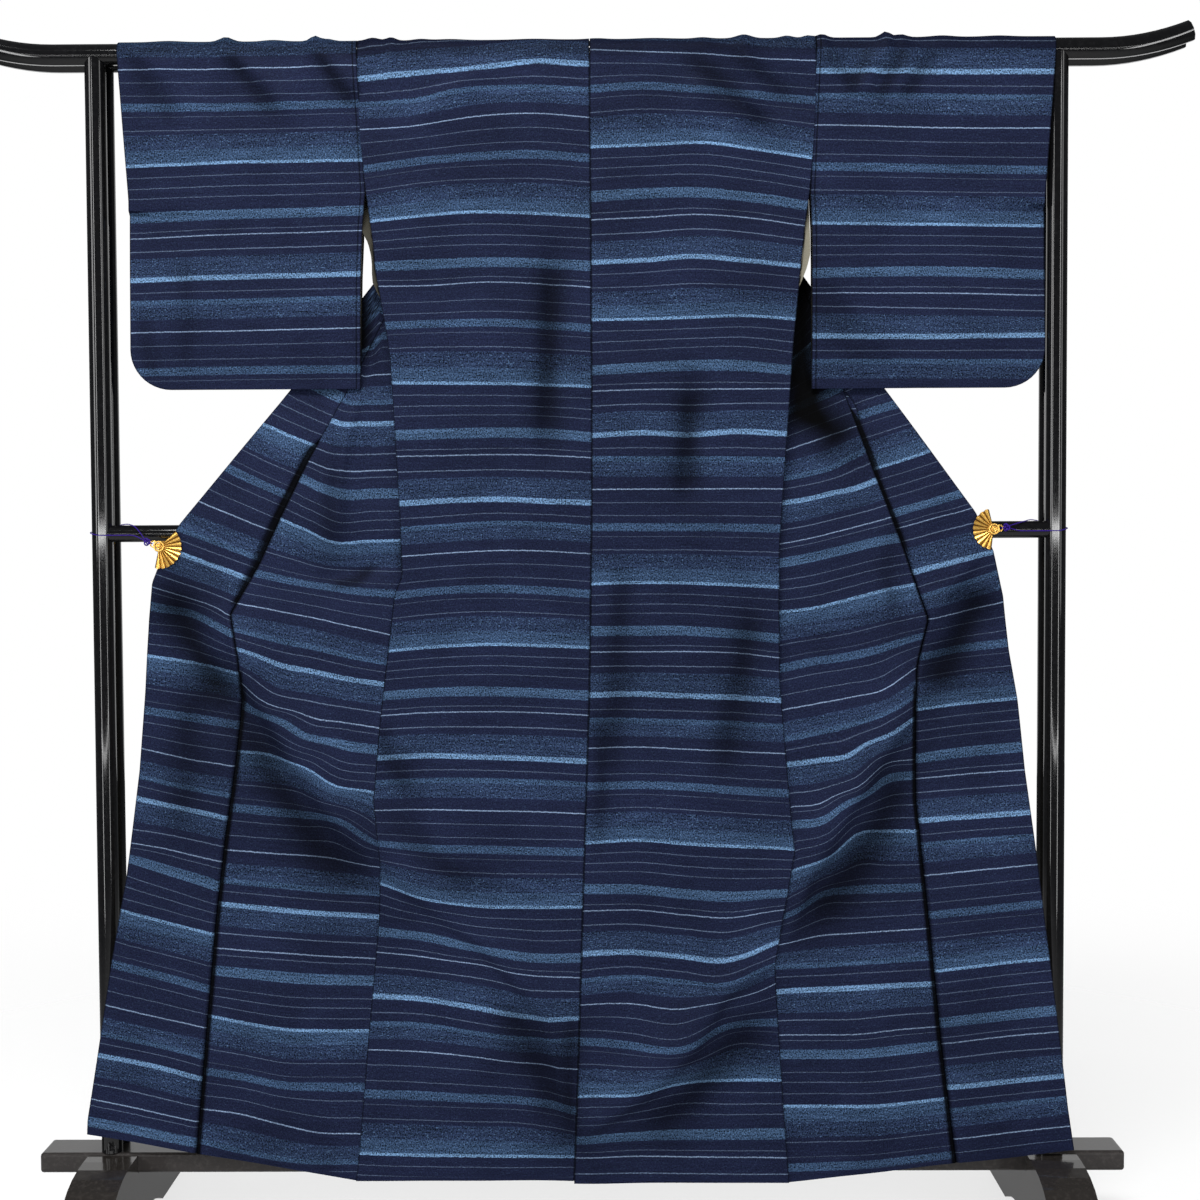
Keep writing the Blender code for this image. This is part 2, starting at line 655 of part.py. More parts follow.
def outline_solid(name, outline, thickness, matrix, collection):
    """A flat outline extruded both ways, then placed and made a mesh."""
    curve = bpy.data.curves.new(name, "CURVE")
    curve.dimensions = "2D"
    curve.fill_mode = "BOTH"
    curve.extrude = thickness / 2 * MM
    spline = curve.splines.new("POLY")
    spline.points.add(len(outline) - 1)
    for point, (u, v) in zip(spline.points, outline):
        point.co = (u * MM, v * MM, 0.0, 1.0)
    spline.use_cyclic_u = True
    obj = bpy.data.objects.new(name, curve)
    collection.objects.link(obj)
    obj.matrix_world = matrix
    bpy.context.view_layer.update()
    return curve_to_mesh(obj)


def foot_outline():
    """The arch from the side: a flat toe at each end, a high back and a low arch under it."""
    top, under = [], []
    for step in range(25):
        share = math.sin(math.pi * (step / 24 - 0.5))
        top.append((FOOT_REACH * share, FOOT_TOP_Z * (1 - abs(share) ** FOOT_TOP_POWER)))
    for step in range(15):
        share = 1 - 2 * step / 14
        under.append((FOOT_ARCH_REACH * share, FOOT_ARCH_Z * (1 - abs(share) ** FOOT_ARCH_POWER)))
    return top + under


def build_feet(collection, cutters):
    notch_size = (400, 2 * (RAIL_HALF_DEPTH + JOINT_GAP), 80)
    for side, sign in (("left", -1), ("right", 1)):
        along_x = Matrix(((0, 0, 1, sign * FOOT_X * MM), (1, 0, 0, 0), (0, 1, 0, 0), (0, 0, 0, 1)))
        foot = outline_solid(f"foot_{side}", foot_outline(), FOOT_WIDTH, along_x, collection)
        notch = box(f"rail_notch_{side}", notch_size, (sign * FOOT_X, 0, RAIL_BOTTOM_Z - JOINT_GAP + 40), cutters)
        boolean(foot, hide_helper(notch), "DIFFERENCE")
        finish(foot, "black_lacquer")


def fan_surface(clip, y, collection, name):
    """A pleated fan: ribs stand forward, valleys lie on the cloth."""
    rows = []
    for radius_share in (0.0, 0.5, 1.0):
        radius = FAN_INNER_RADIUS + (clip["radius"] - FAN_INNER_RADIUS) * radius_share
        row = []
        for step in range(2 * FAN_RIBS + 1):
            angle = math.radians(clip["start"] + (clip["end"] - clip["start"]) * step / (2 * FAN_RIBS))
            ridge = step % 2
            reach = radius + (1.2 if ridge and radius_share == 1.0 else 0.0)
            depth = FAN_PLEAT * ridge * (0.35 + 0.65 * radius_share)
            row.append((clip["x"] + reach * math.cos(angle), y - depth, clip["z"] + reach * math.sin(angle)))
        rows.append(row)
    bm, _ = grid_mesh(rows)
    obj = object_from(weld_points(bm), name, collection)
    solidify(obj, FAN_WALL)
    return obj


def torus(name, centre, radius, wire, collection):
    """A ring that stands in the XZ plane."""
    points = []
    for step in range(14):
        angle = 2 * math.pi * step / 14
        points.append((centre[0] + radius * math.cos(angle), centre[1], centre[2] + radius * math.sin(angle)))
    ring = tube(name, points, wire, collection, cyclic=True, sides=8)
    bpy.context.view_layer.update()
    return curve_to_mesh(ring)


def clip_levels(clip):
    """The fan's middle plane in front of the overlap, and the jaw's behind the collar."""
    inside_x = clip["x"] - math.copysign(20, clip["x"])
    cloth = along(LAYERS, "flap", clip["z"]) - relief(inside_x, clip["z"])
    front = cloth - WALL / 2 - LAYER_GAP - FAN_WALL / 2 - 0.9
    rear = cloth + WALL / 2 + COLLAR_GAP + COLLAR_WALL + LAYER_GAP + JAW_SIZE[1] / 2 + 0.5
    return front, rear


def build_clips(collection, cutters):
    """A fan in front of the cloth and a plain jaw behind it, joined by a boss just outside the cloth's edge."""
    for side, clip in CLIPS.items():
        sign = math.copysign(1, clip["x"])
        front, rear = clip_levels(clip)
        fan = fan_surface(clip, front, collection, f"fan_clip_{side}")
        boss = cylinder(
            f"clip_boss_{side}", (clip["x"], front - 3.2, clip["z"]), (clip["x"], rear + 0.6, clip["z"]),
            BOSS_RADIUS, cutters, 20,
        )
        hub = cylinder(
            f"clip_hub_{side}", (clip["x"], front - 1.6, clip["z"]), (clip["x"], front + 0.45, clip["z"]),
            FAN_INNER_RADIUS + 2.5, cutters, 20,
        )
        jaw_centre = (clip["x"] - sign * (JAW_SIZE[0] / 2 - 2), rear, clip["z"])
        jaw = box(f"clip_jaw_{side}", JAW_SIZE, jaw_centre, cutters)
        ring = torus(f"clip_ring_{side}", (clip["ring_x"], front - 1.0, clip["ring_z"]), RING_RADIUS, RING_WIRE, cutters)
        for piece in (hub, boss, jaw, ring):
            boolean(fan, hide_helper(piece), "UNION")
        finish(fan, "gold_plate")


def cord_route(clip, front):
    """From the knot in front of the upright, round it, back over the crossbar and to the knot."""
    sign = math.copysign(1, clip["x"])
    length = math.hypot(clip["ring_x"] - clip["x"], clip["ring_z"] - clip["z"])
    way_x, way_z = (clip["ring_x"] - clip["x"]) / length, (clip["ring_z"] - clip["z"]) / length
    knot = (clip["ring_x"] + way_x * KNOT_OUT, front - 1.0, clip["ring_z"] + way_z * KNOT_OUT)
    around = TUBE_RADIUS + CORD_RADIUS + 0.9
    route = [knot, (sign * (abs(knot[0]) + 24), (knot[1] - FRAME_Y - around) / 2, CROSSBAR_Z - 2)]
    for angle in range(90, -107, -28):
        turn = math.radians(angle)
        rise = 9.0 * (90 - angle) / 196
        y = -FRAME_Y - around * math.sin(turn)
        route.append((sign * (UPRIGHT_X + around * math.cos(turn)), y, CROSSBAR_Z - 2 + rise))
    over = CROSSBAR_RADIUS + CORD_RADIUS + 0.7
    for step, angle in enumerate((135, 110, 85, 60)):
        turn = math.radians(angle)
        x = UPRIGHT_X - 18 - 9 * step
        route.append((sign * x, -FRAME_Y - over * math.cos(turn), CROSSBAR_Z + over * math.sin(turn)))
    return knot, route


def ring_loop(clip, front):
    """A turn of the cord through the clip's ring."""
    length = math.hypot(clip["ring_x"] - clip["x"], clip["ring_z"] - clip["z"])
    way_x, way_z = (clip["ring_x"] - clip["x"]) / length, (clip["ring_z"] - clip["z"]) / length
    points = []
    for step in range(10):
        angle = 2 * math.pi * step / 10
        reach = RING_RADIUS + 1.0 + 3.4 * math.cos(angle)
        y = front - 1.0 + LOOP_RADIUS * math.sin(angle)
        points.append((clip["ring_x"] + way_x * reach, y, clip["ring_z"] + way_z * reach))
    return points


def build_cords(collection, cutters):
    for side, clip in CLIPS.items():
        front, _ = clip_levels(clip)
        knot, route = cord_route(clip, front)
        cord = tube(f"purple_cord_{side}", route, CORD_RADIUS, collection, cyclic=True, sides=8)
        loop = tube(f"cord_loop_{side}", ring_loop(clip, front), CORD_RADIUS, cutters, cyclic=True, sides=8)
        bpy.context.view_layer.update()
        cord = curve_to_mesh(cord)
        loop = curve_to_mesh(loop)
        bm = bmesh.new()
        bmesh.ops.create_uvsphere(bm, u_segments=12, v_segments=8, radius=KNOT_RADIUS * MM)
        bm.transform(Matrix.Translation(Vector(knot) * MM))
        ball = object_from(bm, f"cord_knot_{side}", cutters)
        boolean(cord, hide_helper(ball), "UNION")
        boolean(cord, hide_helper(loop), "UNION")
        finish(cord, "purple_cord")


def main():
    clear_scene()
    kimono = new_collection("tsumugi_kimono_on_stand")
    cutters = new_collection("cutters")
    build_body("body_left", LEFT, kimono)
    build_body("body_right", RIGHT, kimono)
    build_overlap("okumi_left", LEFT, kimono)
    build_overlap("okumi_right", RIGHT, kimono)
    build_sleeve("sleeve_left", SLEEVES["left"], kimono)
    build_sleeve("sleeve_right", SLEEVES["right"], kimono)
    build_collar("collar", kimono)
    build_bars(kimono)
    build_uprights(kimono, cutters)
    build_crossbar(kimono, cutters)
    build_rail(kimono)
    build_feet(kimono, cutters)
    build_clips(kimono, cutters)
    build_cords(kimono, cutters)


main()
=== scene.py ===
"""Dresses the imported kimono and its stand: striped tsumugi panels with their creases, black lacquer,
gold fan clips and purple cords.

X runs to the viewer's right, Y away from the viewer and Z up. Tables are in millimetres.
"""

import math

import bmesh
import bpy
import numpy as np
from mathutils import Matrix, Vector


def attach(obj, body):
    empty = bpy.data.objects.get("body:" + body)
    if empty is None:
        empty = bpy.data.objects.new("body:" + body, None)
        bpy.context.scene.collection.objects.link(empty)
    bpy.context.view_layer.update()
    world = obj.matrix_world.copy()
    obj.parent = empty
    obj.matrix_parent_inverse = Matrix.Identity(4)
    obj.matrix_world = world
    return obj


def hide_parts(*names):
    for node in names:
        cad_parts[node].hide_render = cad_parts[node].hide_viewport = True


bl_info = {
    "name": "Tsumugi kimono on a stand",
    "version": (1, 0, 0),
    "blender": (4, 5, 0),
    "location": "3D View > Sidebar > Kimono",
    "description": "Dresses a packed kimono and its stand with striped cloth, lacquer, clips and cords",
    "category": "Object",
}

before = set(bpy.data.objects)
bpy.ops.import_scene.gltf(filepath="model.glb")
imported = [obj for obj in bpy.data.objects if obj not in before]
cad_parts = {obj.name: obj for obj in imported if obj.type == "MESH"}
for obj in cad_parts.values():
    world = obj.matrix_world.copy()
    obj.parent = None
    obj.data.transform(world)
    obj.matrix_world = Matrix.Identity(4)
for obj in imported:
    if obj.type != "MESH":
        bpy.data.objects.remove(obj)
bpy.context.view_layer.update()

MM = 0.001

# The stand
FRAME_Y = 21.0
TUBE_RADIUS = 15.0
UPRIGHT_X = 685.0
BAR_Z = 1702.0
BAR_STRAIGHT_X = 745.0
BAR_BEND = 128.0
BAR_END_RISE = 24.0
CROSSBAR_Z = 1020.0
CROSSBAR_RADIUS = 12.2

# The cloth
CAD_WALL = 1.5
SEAM_HALF = 0.54
LIP_DEPTH = 5.0
# Painted shade on the cloth where it turns over the bar
TOP_SHADE = 0.42
COLLAR_GAP = 1.1
WRAP_RADIUS = 16.5
FRONT_FRAME_Y = -FRAME_Y
COLLAR_WIDTH = 55.0
COLLAR_WALL = 2.5
RELIEF_FADE = 120.0
WAVE_HEIGHT = 0.9
FOLD_OUT = 8.0
TIP_DROP = 12
SEAM_HOLLOW = 3.0
BEHIND_BAR = -330.0
MERGE_WITHIN = 0.01

CENTRE = {
    "z": [1702, 1207, 808, 635, 346, 200, 81],
    "x": [20, 21, 16, 10, 0, -5, -10],
}
LEFT = {
    "name": "left",
    "sign": -1,
    "side_z": [1702, 1503, 1434, 1389, 1314, 1264, 1179, 1048, 958, 932, 869, 739, 637, 551, 470, 303,
        125, 84],
    "side_x": [-309, -298, -289, -285, -272, -265, -260, -253, -250, -261, -269, -285, -294, -284, -287,
        -304, -320, -325],
    "fold_z": [1702, 1643, 958],
    "fold_x": [-94, -82, -249],
    "seam_z": [1531, 1209, 1125, 1046, 973, 905, 842, 781, 699, 578, 452, 248, 127],
    "seam_x": [-172, -338, -385, -423, -457, -496, -484, -482, -490, -508, -524, -544, -555],
    "edge_z": [1643, 1531, 1371, 1209, 1032, 990, 950, 897, 796, 681, 526, 402, 268, 174, 153],
    "edge_x": [-82, -172, -298, -425, -570, -593, -609, -614, -620, -630, -651, -675, -697, -713, -714],
    "tip_z": 1643,
    "notch_z": 958,
    "kensaki_z": 1531,
    "hem_z": 84,
    "hem_slope": 0.176,
    "flare_z": [1520, 1490, 1455, 1443, 1437, 1427, 1413, 1399, 1385, 1375, 1350],
    "flare_x": [0, 6, 14, 12.5, 9, 6.5, 4.5, 4.5, 6, 7, 0],
    # How dark the painted shade is on the front's part under the back panel, which shows in the armhole
    "flare_shade": 0.8,
    "climb": 1.35,
    "climb_x": -283,
}
RIGHT = {
    "name": "right",
    "sign": 1,
    "side_z": [1702, 1501, 1450, 1394, 1283, 1072, 1002, 921, 805, 659, 561, 487, 399, 190, 80],
    "side_x": [340, 331, 324, 318, 307, 292, 287, 286, 287, 299, 308, 295, 279, 292, 300],
    "fold_z": [1702, 1665, 921],
    "fold_x": [118, 131, 285],
    "seam_z": [1404, 1205, 1100, 990, 893, 823, 769, 634, 449, 283, 104],
    "seam_x": [312, 388, 425, 466, 498, 482, 479, 481, 501, 518, 541],
    "edge_z": [1665, 1404, 1204, 1045, 990, 925, 848, 778, 676, 541, 338, 189, 125],
    "edge_x": [131, 312, 454, 567, 592, 606, 614, 626, 637, 656, 683, 701, 711],
    "tip_z": 1665,
    "notch_z": 921,
    "kensaki_z": 1404,
    "hem_z": 80,
    "hem_slope": 0.112,
    "flare_z": [1510, 1470, 1412, 1392, 1362],
    "flare_x": [0, 5, 12, 9, 0],
    # How dark the painted shade is on the front's part under the back panel, which shows in the armhole
    "flare_shade": 0.0,
    "climb": 0.0,
    "climb_x": 283,
}

# How far back each layer of cloth lies at a height
LAYERS = {
    "z": [1702, 1643, 1503, 1440, 1371, 1226, 1130, 1045, 958, 900, 739, 470, 80],
    "back": [-37.4, -38.2, -40, -41, -42.5, -47, -50, -52, -53, -53, -53, -52, -50],
    "side": [-4.6, -5.2, -9, -38, -40.7, -45.2, -48.2, -50.2, -51.2, -51.2, -51.2, -50.2, -48.2],
    "inner": [-4.6, -4.8, -7, -9, -14, -25, -37, -45.5, -47.2, -47.2, -47.2, -47.2, -47.2],
    "flap": [-1.2, -1.0, 0, -1.5, -6, -16, -30, -41, -43, -46, -49, -49, -47.5],
}

# The broad folds that the solids share: x and z of both ends, the width, and the height towards the viewer
FOLDS = [
    (-318, 1200, -340, 1030, 24, 7), (-478, 860, -300, 590, 42, 8),
    (-270, 540, -30, 180, 60, 9), (-575, 890, -520, 760, 36, -6),
    (545, 960, 505, 890, 32, 5), (572, 880, 545, 780, 36, -6),
    (478, 780, 310, 500, 42, 8), (270, 400, 150, 270, 50, 8),
    (150, 270, 10, 170, 60, 7), (-36, 1410, -38, 1140, 36, -4),
    (160, 1230, 160, 1070, 34, -4), (222, 910, 222, 670, 38, -4),
]

# The creases: how wide to each side, how high, how much steeper one side is, and the line
BACK_CREASES = [
    (16, 6.0, 0.5, (-120, 1684), (-191, 1634), (-220, 1596)),
    (16, 6.5, -0.5, (157, 1651), (200, 1638), (260, 1599)),
    (24, -3.0, 0, (225, 1666), (267, 1643), (305, 1610)),
    (16, -5.5, 0.4, (-34, 1418), (-41, 1278), (-46, 1136)),
    (16, -5.5, 0.4, (163, 1234), (157, 1149), (152, 1064)),
    (17, -5.5, -0.4, (248, 921), (228, 793), (205, 664)),
    (15, -3.4, 0.3, (63, 979), (57, 837), (47, 664)),
    (24, 11.0, 0.6, (-286, 565), (-215, 499), (-129, 427), (-44, 332), (-8, 171)),
    (26, -5.0, 0, (-115, 347), (-66, 274), (-30, 171)),
    (24, 11.0, -0.6, (285, 418), (201, 360), (158, 288), (86, 215), (-1, 157)),
    (26, -5.0, 0, (273, 331), (215, 273), (158, 200), (85, 149)),
    (8, 3.0, 0.2, (-265, 1702), (-258, 1658), (-250, 1613)),
    (8, 3.0, 0.2, (239, 1702), (249, 1671), (263, 1632)),
]
FRONT_CREASES = [
    (13, 7.0, -0.4, (-315, 1220), (-330, 1166), (-341, 1095), (-343, 1010)),
    (18, -7.0, 0.3, (-371, 960), (-311, 967), (-254, 981)),
    (24, 10.0, 0.6, (-493, 911), (-470, 810), (-400, 695), (-343, 608), (-282, 550)),
    (28, -6.0, 0, (-490, 796), (-436, 681), (-372, 565), (-287, 492)),
    (28, -8.0, 0, (-576, 932), (-548, 868), (-513, 782)),
    (16, 6.0, -0.4, (567, 990), (530, 942), (497, 892)),
    (28, -8.0, 0, (579, 941), (544, 863), (502, 792)),
    (24, 10.0, -0.6, (479, 792), (438, 720), (388, 634), (316, 519), (287, 433)),
    (28, -6.0, 0, (466, 692), (431, 591), (374, 505), (316, 432)),
]
SLEEVE_CREASES = [
    (15, 4.5, 0.6, (338, 1406), (379, 1356), (420, 1306), (462, 1258), (488, 1225)),
    (14, 6.5, 0.5, (-497, 1712), (-452, 1668), (-400, 1618)),
    (12, 6.0, 0.5, (-370, 1712), (-336, 1672), (-300, 1632)),
    (15, 4.0, 0.4, (-620, 1712), (-578, 1658), (-540, 1606)),
    (10, 4.0, 0.3, (347, 1712), (370, 1680), (402, 1640)),
    (12, 6.5, -0.4, (440, 1712), (424, 1672), (398, 1624)),
    (12, 4.5, -0.3, (490, 1712), (470, 1668), (446, 1630)),
]

# Painted shade where the light hardly reaches: the width, how dark, 0, and the line
BACK_SHADES = [
    (22, 0.7, 0, (-34, 1418), (-41, 1278), (-46, 1136)),
    (22, 0.7, 0, (163, 1234), (157, 1149), (152, 1064)),
    (26, 0.6, 0, (248, 921), (228, 793), (205, 664)),
    (20, 0.45, 0, (63, 979), (57, 837), (47, 664)),
    (34, 0.66, 0, (-115, 347), (-66, 274), (-30, 171)),
    (32, 0.6, 0, (273, 331), (215, 273), (158, 200), (85, 149)),
    (22, 0.4, 0, (-275, 628), (-215, 560), (-140, 500)),
    (12, 0.4, 0, (28, 770), (32, 640), (24, 560)),
    (14, 0.45, 0, (-12, 150), (-14, 230), (-12, 330)),
    (18, 0.45, 0, (-285, 750), (-272, 700), (-240, 650)),
    (20, 0.55, 0, (150, 1700), (190, 1668), (235, 1620), (285, 1590)),
    (14, 0.45, 0, (215, 1706), (262, 1668), (310, 1630)),
]
FRONT_SHADES = [
    (30, 0.8, 0, (-592, 955), (-555, 865), (-500, 770)),
    (34, 0.7, 0, (-485, 770), (-440, 670), (-372, 565), (-300, 500)),
    (13, 0.985, 0, (-312, 1400), (-309, 1320), (-311, 1262)),
    (9, 0.6, 0, (-352, 945), (-318, 950), (-290, 975)),
    (7, 0.85, 0, (-249, 1013), (-247, 975), (-244, 949)),
    (46, 0.985, 0, (322, 1420), (322, 1300), (318, 1200)),
    (32, 0.84, 0, (304, 1213), (345, 1178), (390, 1141)),
    (30, 0.78, 0, (583, 950), (543, 860), (503, 784)),
    (34, 0.7, 0, (470, 700), (431, 591), (374, 505), (316, 432)),
    (26, 0.45, 0, (-560, 800), (-560, 700), (-575, 600)),
    (18, 0.35, 0, (-345, 1120), (-350, 1060), (-352, 1000)),
    (16, 0.35, 0, (455, 1040), (440, 960), (455, 880)),
]
SLEEVE_SHADES = [
    (30, 0.28, 0, (330, 1380), (365, 1325), (405, 1275), (440, 1235)),
    (15, 0.55, 0, (-500, 1712), (-468, 1665), (-424, 1612)),
    (13, 0.6, 0, (-372, 1712), (-346, 1670), (-312, 1620)),
    (18, 0.4, 0, (-640, 1712), (-606, 1660), (-566, 1600)),
    (11, 0.45, 0, (346, 1712), (362, 1690), (390, 1650)),
    (13, 0.55, 0, (470, 1712), (450, 1672), (424, 1620)),
    (12, 0.42, 0, (512, 1712), (490, 1672), (462, 1622)),
    (11, 0.45, 0, (418, 1712), (404, 1672), (384, 1630)),
    (16, 0.3, 0, (-560, 1420), (-556, 1330), (-560, 1250)),
    (14, 0.35, 0, (-620, 1330), (-616, 1280), (-605, 1240)),
]
# The strip beside each overlap seam that lies in the shadow of the seam's fold, painted as shade: the height,
# and how far it reaches on the panel and on the overlap
SEAM_GROOVE_AND_SHADOW = {
    "left": {"z": [1160, 1140, 945, 905, 840, 800, 84], "body": [0, 1, 1, 1, 1, 7, 6], "overlap": [0, 12,
        11, 2.5, 2, 2.5, 2.5]},
    "right": {"z": [1225, 1205, 1100, 960, 820, 780, 80], "body": [0, 1, 1, 1, 1, 5, 5], "overlap": [0, 9,
        8, 4.5, 2, 3, 3]},
}

# Small rises of the cloth where it goes over the bar: x, width, height
RIPPLES = [
    (-497, 12, 6.4), (-370, 9, 7.4), (-352, 10, 3.0), (-288, 12, 4.2), (-262, 9, 4.6), (-180, 26, 1.6),
    (-60, 30, 1.2), (110, 30, 1.2), (239, 14, 5.2), (300, 11, 3.2), (330, 9, 3.4), (350, 9, 5.0),
    (440, 9, 8.0), (462, 10, 4.0), (520, 20, 2.0), (600, 24, 1.4), (-580, 24, 1.6),
    (-430, 18, 2.0), (-220, 14, 2.0),
    (30, 18, 1.4), (180, 14, 1.8),
]

SLEEVES = {
    "left": {"z": [1702, 1640, 1494, 1282], "outer": [-650, -646, -637, -639], "inner_z": [1702, 1503,
        1453, 1386, 1226], "inner": [-310, -299.5, -304, -307, -310], "bottom": 1226, "corner": 57},
    "right": {"z": [1702, 1640, 1486, 1275], "outer": [679, 675, 664, 668], "inner_z": [1702, 1502, 1446,
        1223], "inner": [341, 332.5, 335, 335], "bottom": 1223, "corner": 57},
}
CUFF_BELOW_BAR = 225.0
SLEEVE_FRONT_IN = 7.0
SLEEVE_REAR_IN = 17.0
SLEEVE_FOLD = 3.0
SLEEVE_CLOSING = 70.0

COLLAR_NECK = {
    "x": [-72, -52, -22, 20, 64, 98, 119],
    "z": [1656, 1676, 1690, 1696, 1691, 1684, 1676],
    "turn": [15, 35, 62, 90, 118, 145, 165],
}
COLLAR_ENDS = {"left": 898, "right": 895}
COLLAR_INSET = 1.5

CLIPS = {
    "left": {"x": -598, "z": 1002, "radius": 31, "start": -102, "end": 42, "ring_x": -606, "ring_z": 1005},
    "right": {"x": 592, "z": 1021, "radius": 28.5, "start": 104, "end": 264, "ring_x": 600.5, "ring_z": 1022},
}
FAN_RIBS = 10
FAN_INNER_RADIUS = 7.0
FAN_DEPTH = 2.3
FAN_WALL = 0.9
JAW_SIZE = (24.0, 1.5, 15.0)
RING_RADIUS = 4.2
RING_WIRE = 1.0
CORD_RADIUS = 0.9
KNOT_OUT = 9.6
CORD_LAY = 6.5
# Turned parts of the clips: the radius, and y from the fan's plane, or from the jaw's for the boss's rear end
BOSS_FRONT = [
    (0, -3.6), (1.6, -3.6), (2.4, -3.2), (2.7, -2.6), (3.0, -2.5), (3.7, -2.9), (4.3, -2.7), (4.6, -2.2)]
BOSS_REAR = [(4.6, 0.2), (4.2, 0.6), (0, 0.6)]
RIM = [(5.4, -2.4), (6.6, -2.9), (7.8, -2.6), (8.2, -1.8), (8.0, 0.45), (5.4, 0.5), (5.4, -2.4)]
TUBES = (
    "front_bar", "rear_bar", "front_upright_left", "front_upright_right", "rear_upright_left",
    "rear_upright_right", "crossbar")

# The weft stripes over one repeat of the cloth: where each starts and ends, its tone at both ends, and
# whether it is a band of mixed yarns or a thin pale line
REPEAT = 371.8
CHART = [
    (13.8, 14.8, 0.26, 0.26, "line"), (28.8, 29.8, 0.30, 0.30, "line"),
    (42.4, 43.4, 0.25, 0.25, "line"), (61.5, 75.8, 0.60, 0.56, "band"),
    (89.6, 90.6, 0.25, 0.25, "line"), (98.0, 99.5, 0.76, 0.76, "line"),
    (120.1, 121.5, 0.38, 0.38, "line"), (131.6, 160.2, 0.28, 0.34, "band"),
    (160.2, 167.3, 0.82, 0.82, "band"), (181.1, 182.1, 0.25, 0.25, "line"),
    (191.6, 198.8, 0.54, 0.48, "band"), (198.8, 218.8, 0.34, 0.27, "band"),
    (235.2, 236.8, 0.80, 0.80, "line"), (255.5, 256.5, 0.29, 0.29, "line"),
    (275.5, 276.5, 0.25, 0.25, "line"), (287.4, 298.9, 0.52, 0.50, "band"),
    (306.0, 306.8, 0.17, 0.17, "line"), (324.1, 325.1, 0.26, 0.26, "line"),
    (330.3, 350.0, 0.22, 0.32, "band"), (350.0, 367.5, 0.44, 0.54, "band"),
    (367.5, 371.7, 0.84, 0.84, "band"),
]
CHART_CUTS = [0.0, 84.0, 176.0, 240.0, 310.0, 371.8]
STRIPE_SOFT = 0.2


def weft_table(length, first, *offsets):
    """A panel's weft lines: how far along the cloth each lies, and its height in each column."""
    return {"length": length, "heights": np.cumsum([first, *offsets], axis=0).tolist()}


# The heights of the weft lines on each panel: how far along the cloth each lies, then the heights in the
# first column across the panel, and from each column to the next
WEFT_BACK_LEFT = weft_table(
    [-208, -180, -136, -79, 0, 69, 99, 164, 242, 311, 341, 406, 434, 478, 536, 614, 683, 713, 778, 806,
        850, 907, 986, 1055, 1085, 1150, 1178, 1222, 1279, 1358],
    [1681, 1648, 1606, 1549, 1464, 1396, 1366, 1308, 1224, 1154, 1125, 1061, 1029, 989, 931, 853, 786,
        758, 692, 662, 617, 562, 480, 408, 380, 322, 296, 250, 192, 119],
    [4, 4, 6, 6, 5, 5, 6, 6, 3, 6, 4, 3, 5, 4, 5, 3, 4, 4, 4, 4, 3, 2, 0, 2, 6, 2, -1, 8, 11, -2],
    [-10, -3, -4, -3, 2, 1, 2, 3, 2, 1, 1, 3, 2, 1, 3, 2, 3, 2, 3, 3, 2, 2, 2, 14, 15, 15, 10, 9, 3, 1],
    [-5, -14, -12, -6, -4, -2, -4, -1, 1, -1, -1, -2, -4, -3, -2, -3, -1, -1, 2, 0, 2, 3, 13, 17, 11, 11,
        10, 6, 3, 1],
    [-8, -6, -5, -11, -8, -3, -1, -3, 0, -2, -1, -4, -4, -5, -7, -6, -5, -4, -3, -3, 0, 9, 22, 7, 6, 4, 2,
        3, 3, 3])
WEFT_BACK_RIGHT = weft_table(
    [-136, -79, 0, 69, 99, 164, 248, 317, 347, 412, 440, 484, 541, 620, 689, 719, 784, 812, 856, 913, 992,
        1060, 1090, 1155, 1183, 1228, 1285, 1364, 1432, 1462, 1484],
    [1701, 1646, 1562, 1494, 1461, 1401, 1318, 1248, 1219, 1156, 1127, 1080, 1027, 943, 878, 848, 787,
        754, 711, 656, 572, 509, 477, 415, 379, 341, 289, 209, 148, 120, 95],
    [-4, 4, 2, 4, 3, 3, 1, 4, 2, 4, -1, 0, -1, 2, 0, 0, 1, -1, 1, 2, 4, -1, 1, 2, 5, 1, -7, 2, 1, 0, 0],
    [-3, -7, 3, 1, 4, 5, 2, 3, 0, -3, 0, 0, 0, -1, 0, 0, -3, -2, -3, -3, -6, -7, -7, -6, -6, -6, -1, 14,
        2, -1, -1],
    [-7, -7, -10, -8, -6, -7, 2, -1, 0, 4, -1, 0, -1, -3, -5, -2, -3, -3, -4, -6, -4, -4, -4, -4, -1, 14,
        30, 2, 0, -1, -1],
    [-4, -8, -12, -12, -11, -8, -6, -7, 0, -4, -1, -1, -2, -4, -7, -7, -4, -4, -3, -4, -3, 6, 12, 27, 27,
        22, 3, 0, 1, -1, 0])
WEFT_FRONT_LEFT = weft_table(
    [-164, -99, -76, 0, 79, 136, 208, 273, 296, 372, 450, 508, 580, 645, 668, 744, 822, 879, 919],
    [1177, 1110, 1083, 1011, 932, 874, 803, 741, 716, 650, 576, 542, 469, 408, 383, 305, 221, 153, 112],
    [-1, -1, 0, -1, 4, 12, 8, 8, 8, 10, 34, 8, 3, 3, 2, 0, 0, 1, 0],
    [0, -1, -1, -2, 7, 13, 11, 9, 11, 28, 6, 7, 4, 4, 3, 2, 3, 13, 5],
    [-1, 4, 9, 18, 9, 11, 12, 16, 26, 15, 6, 4, 6, 4, 5, 9, 12, 15, 12],
    [6, 11, 14, 17, 11, 10, 22, 35, 22, 7, 6, 5, 6, 5, 5, 11, 9, 8, 15])
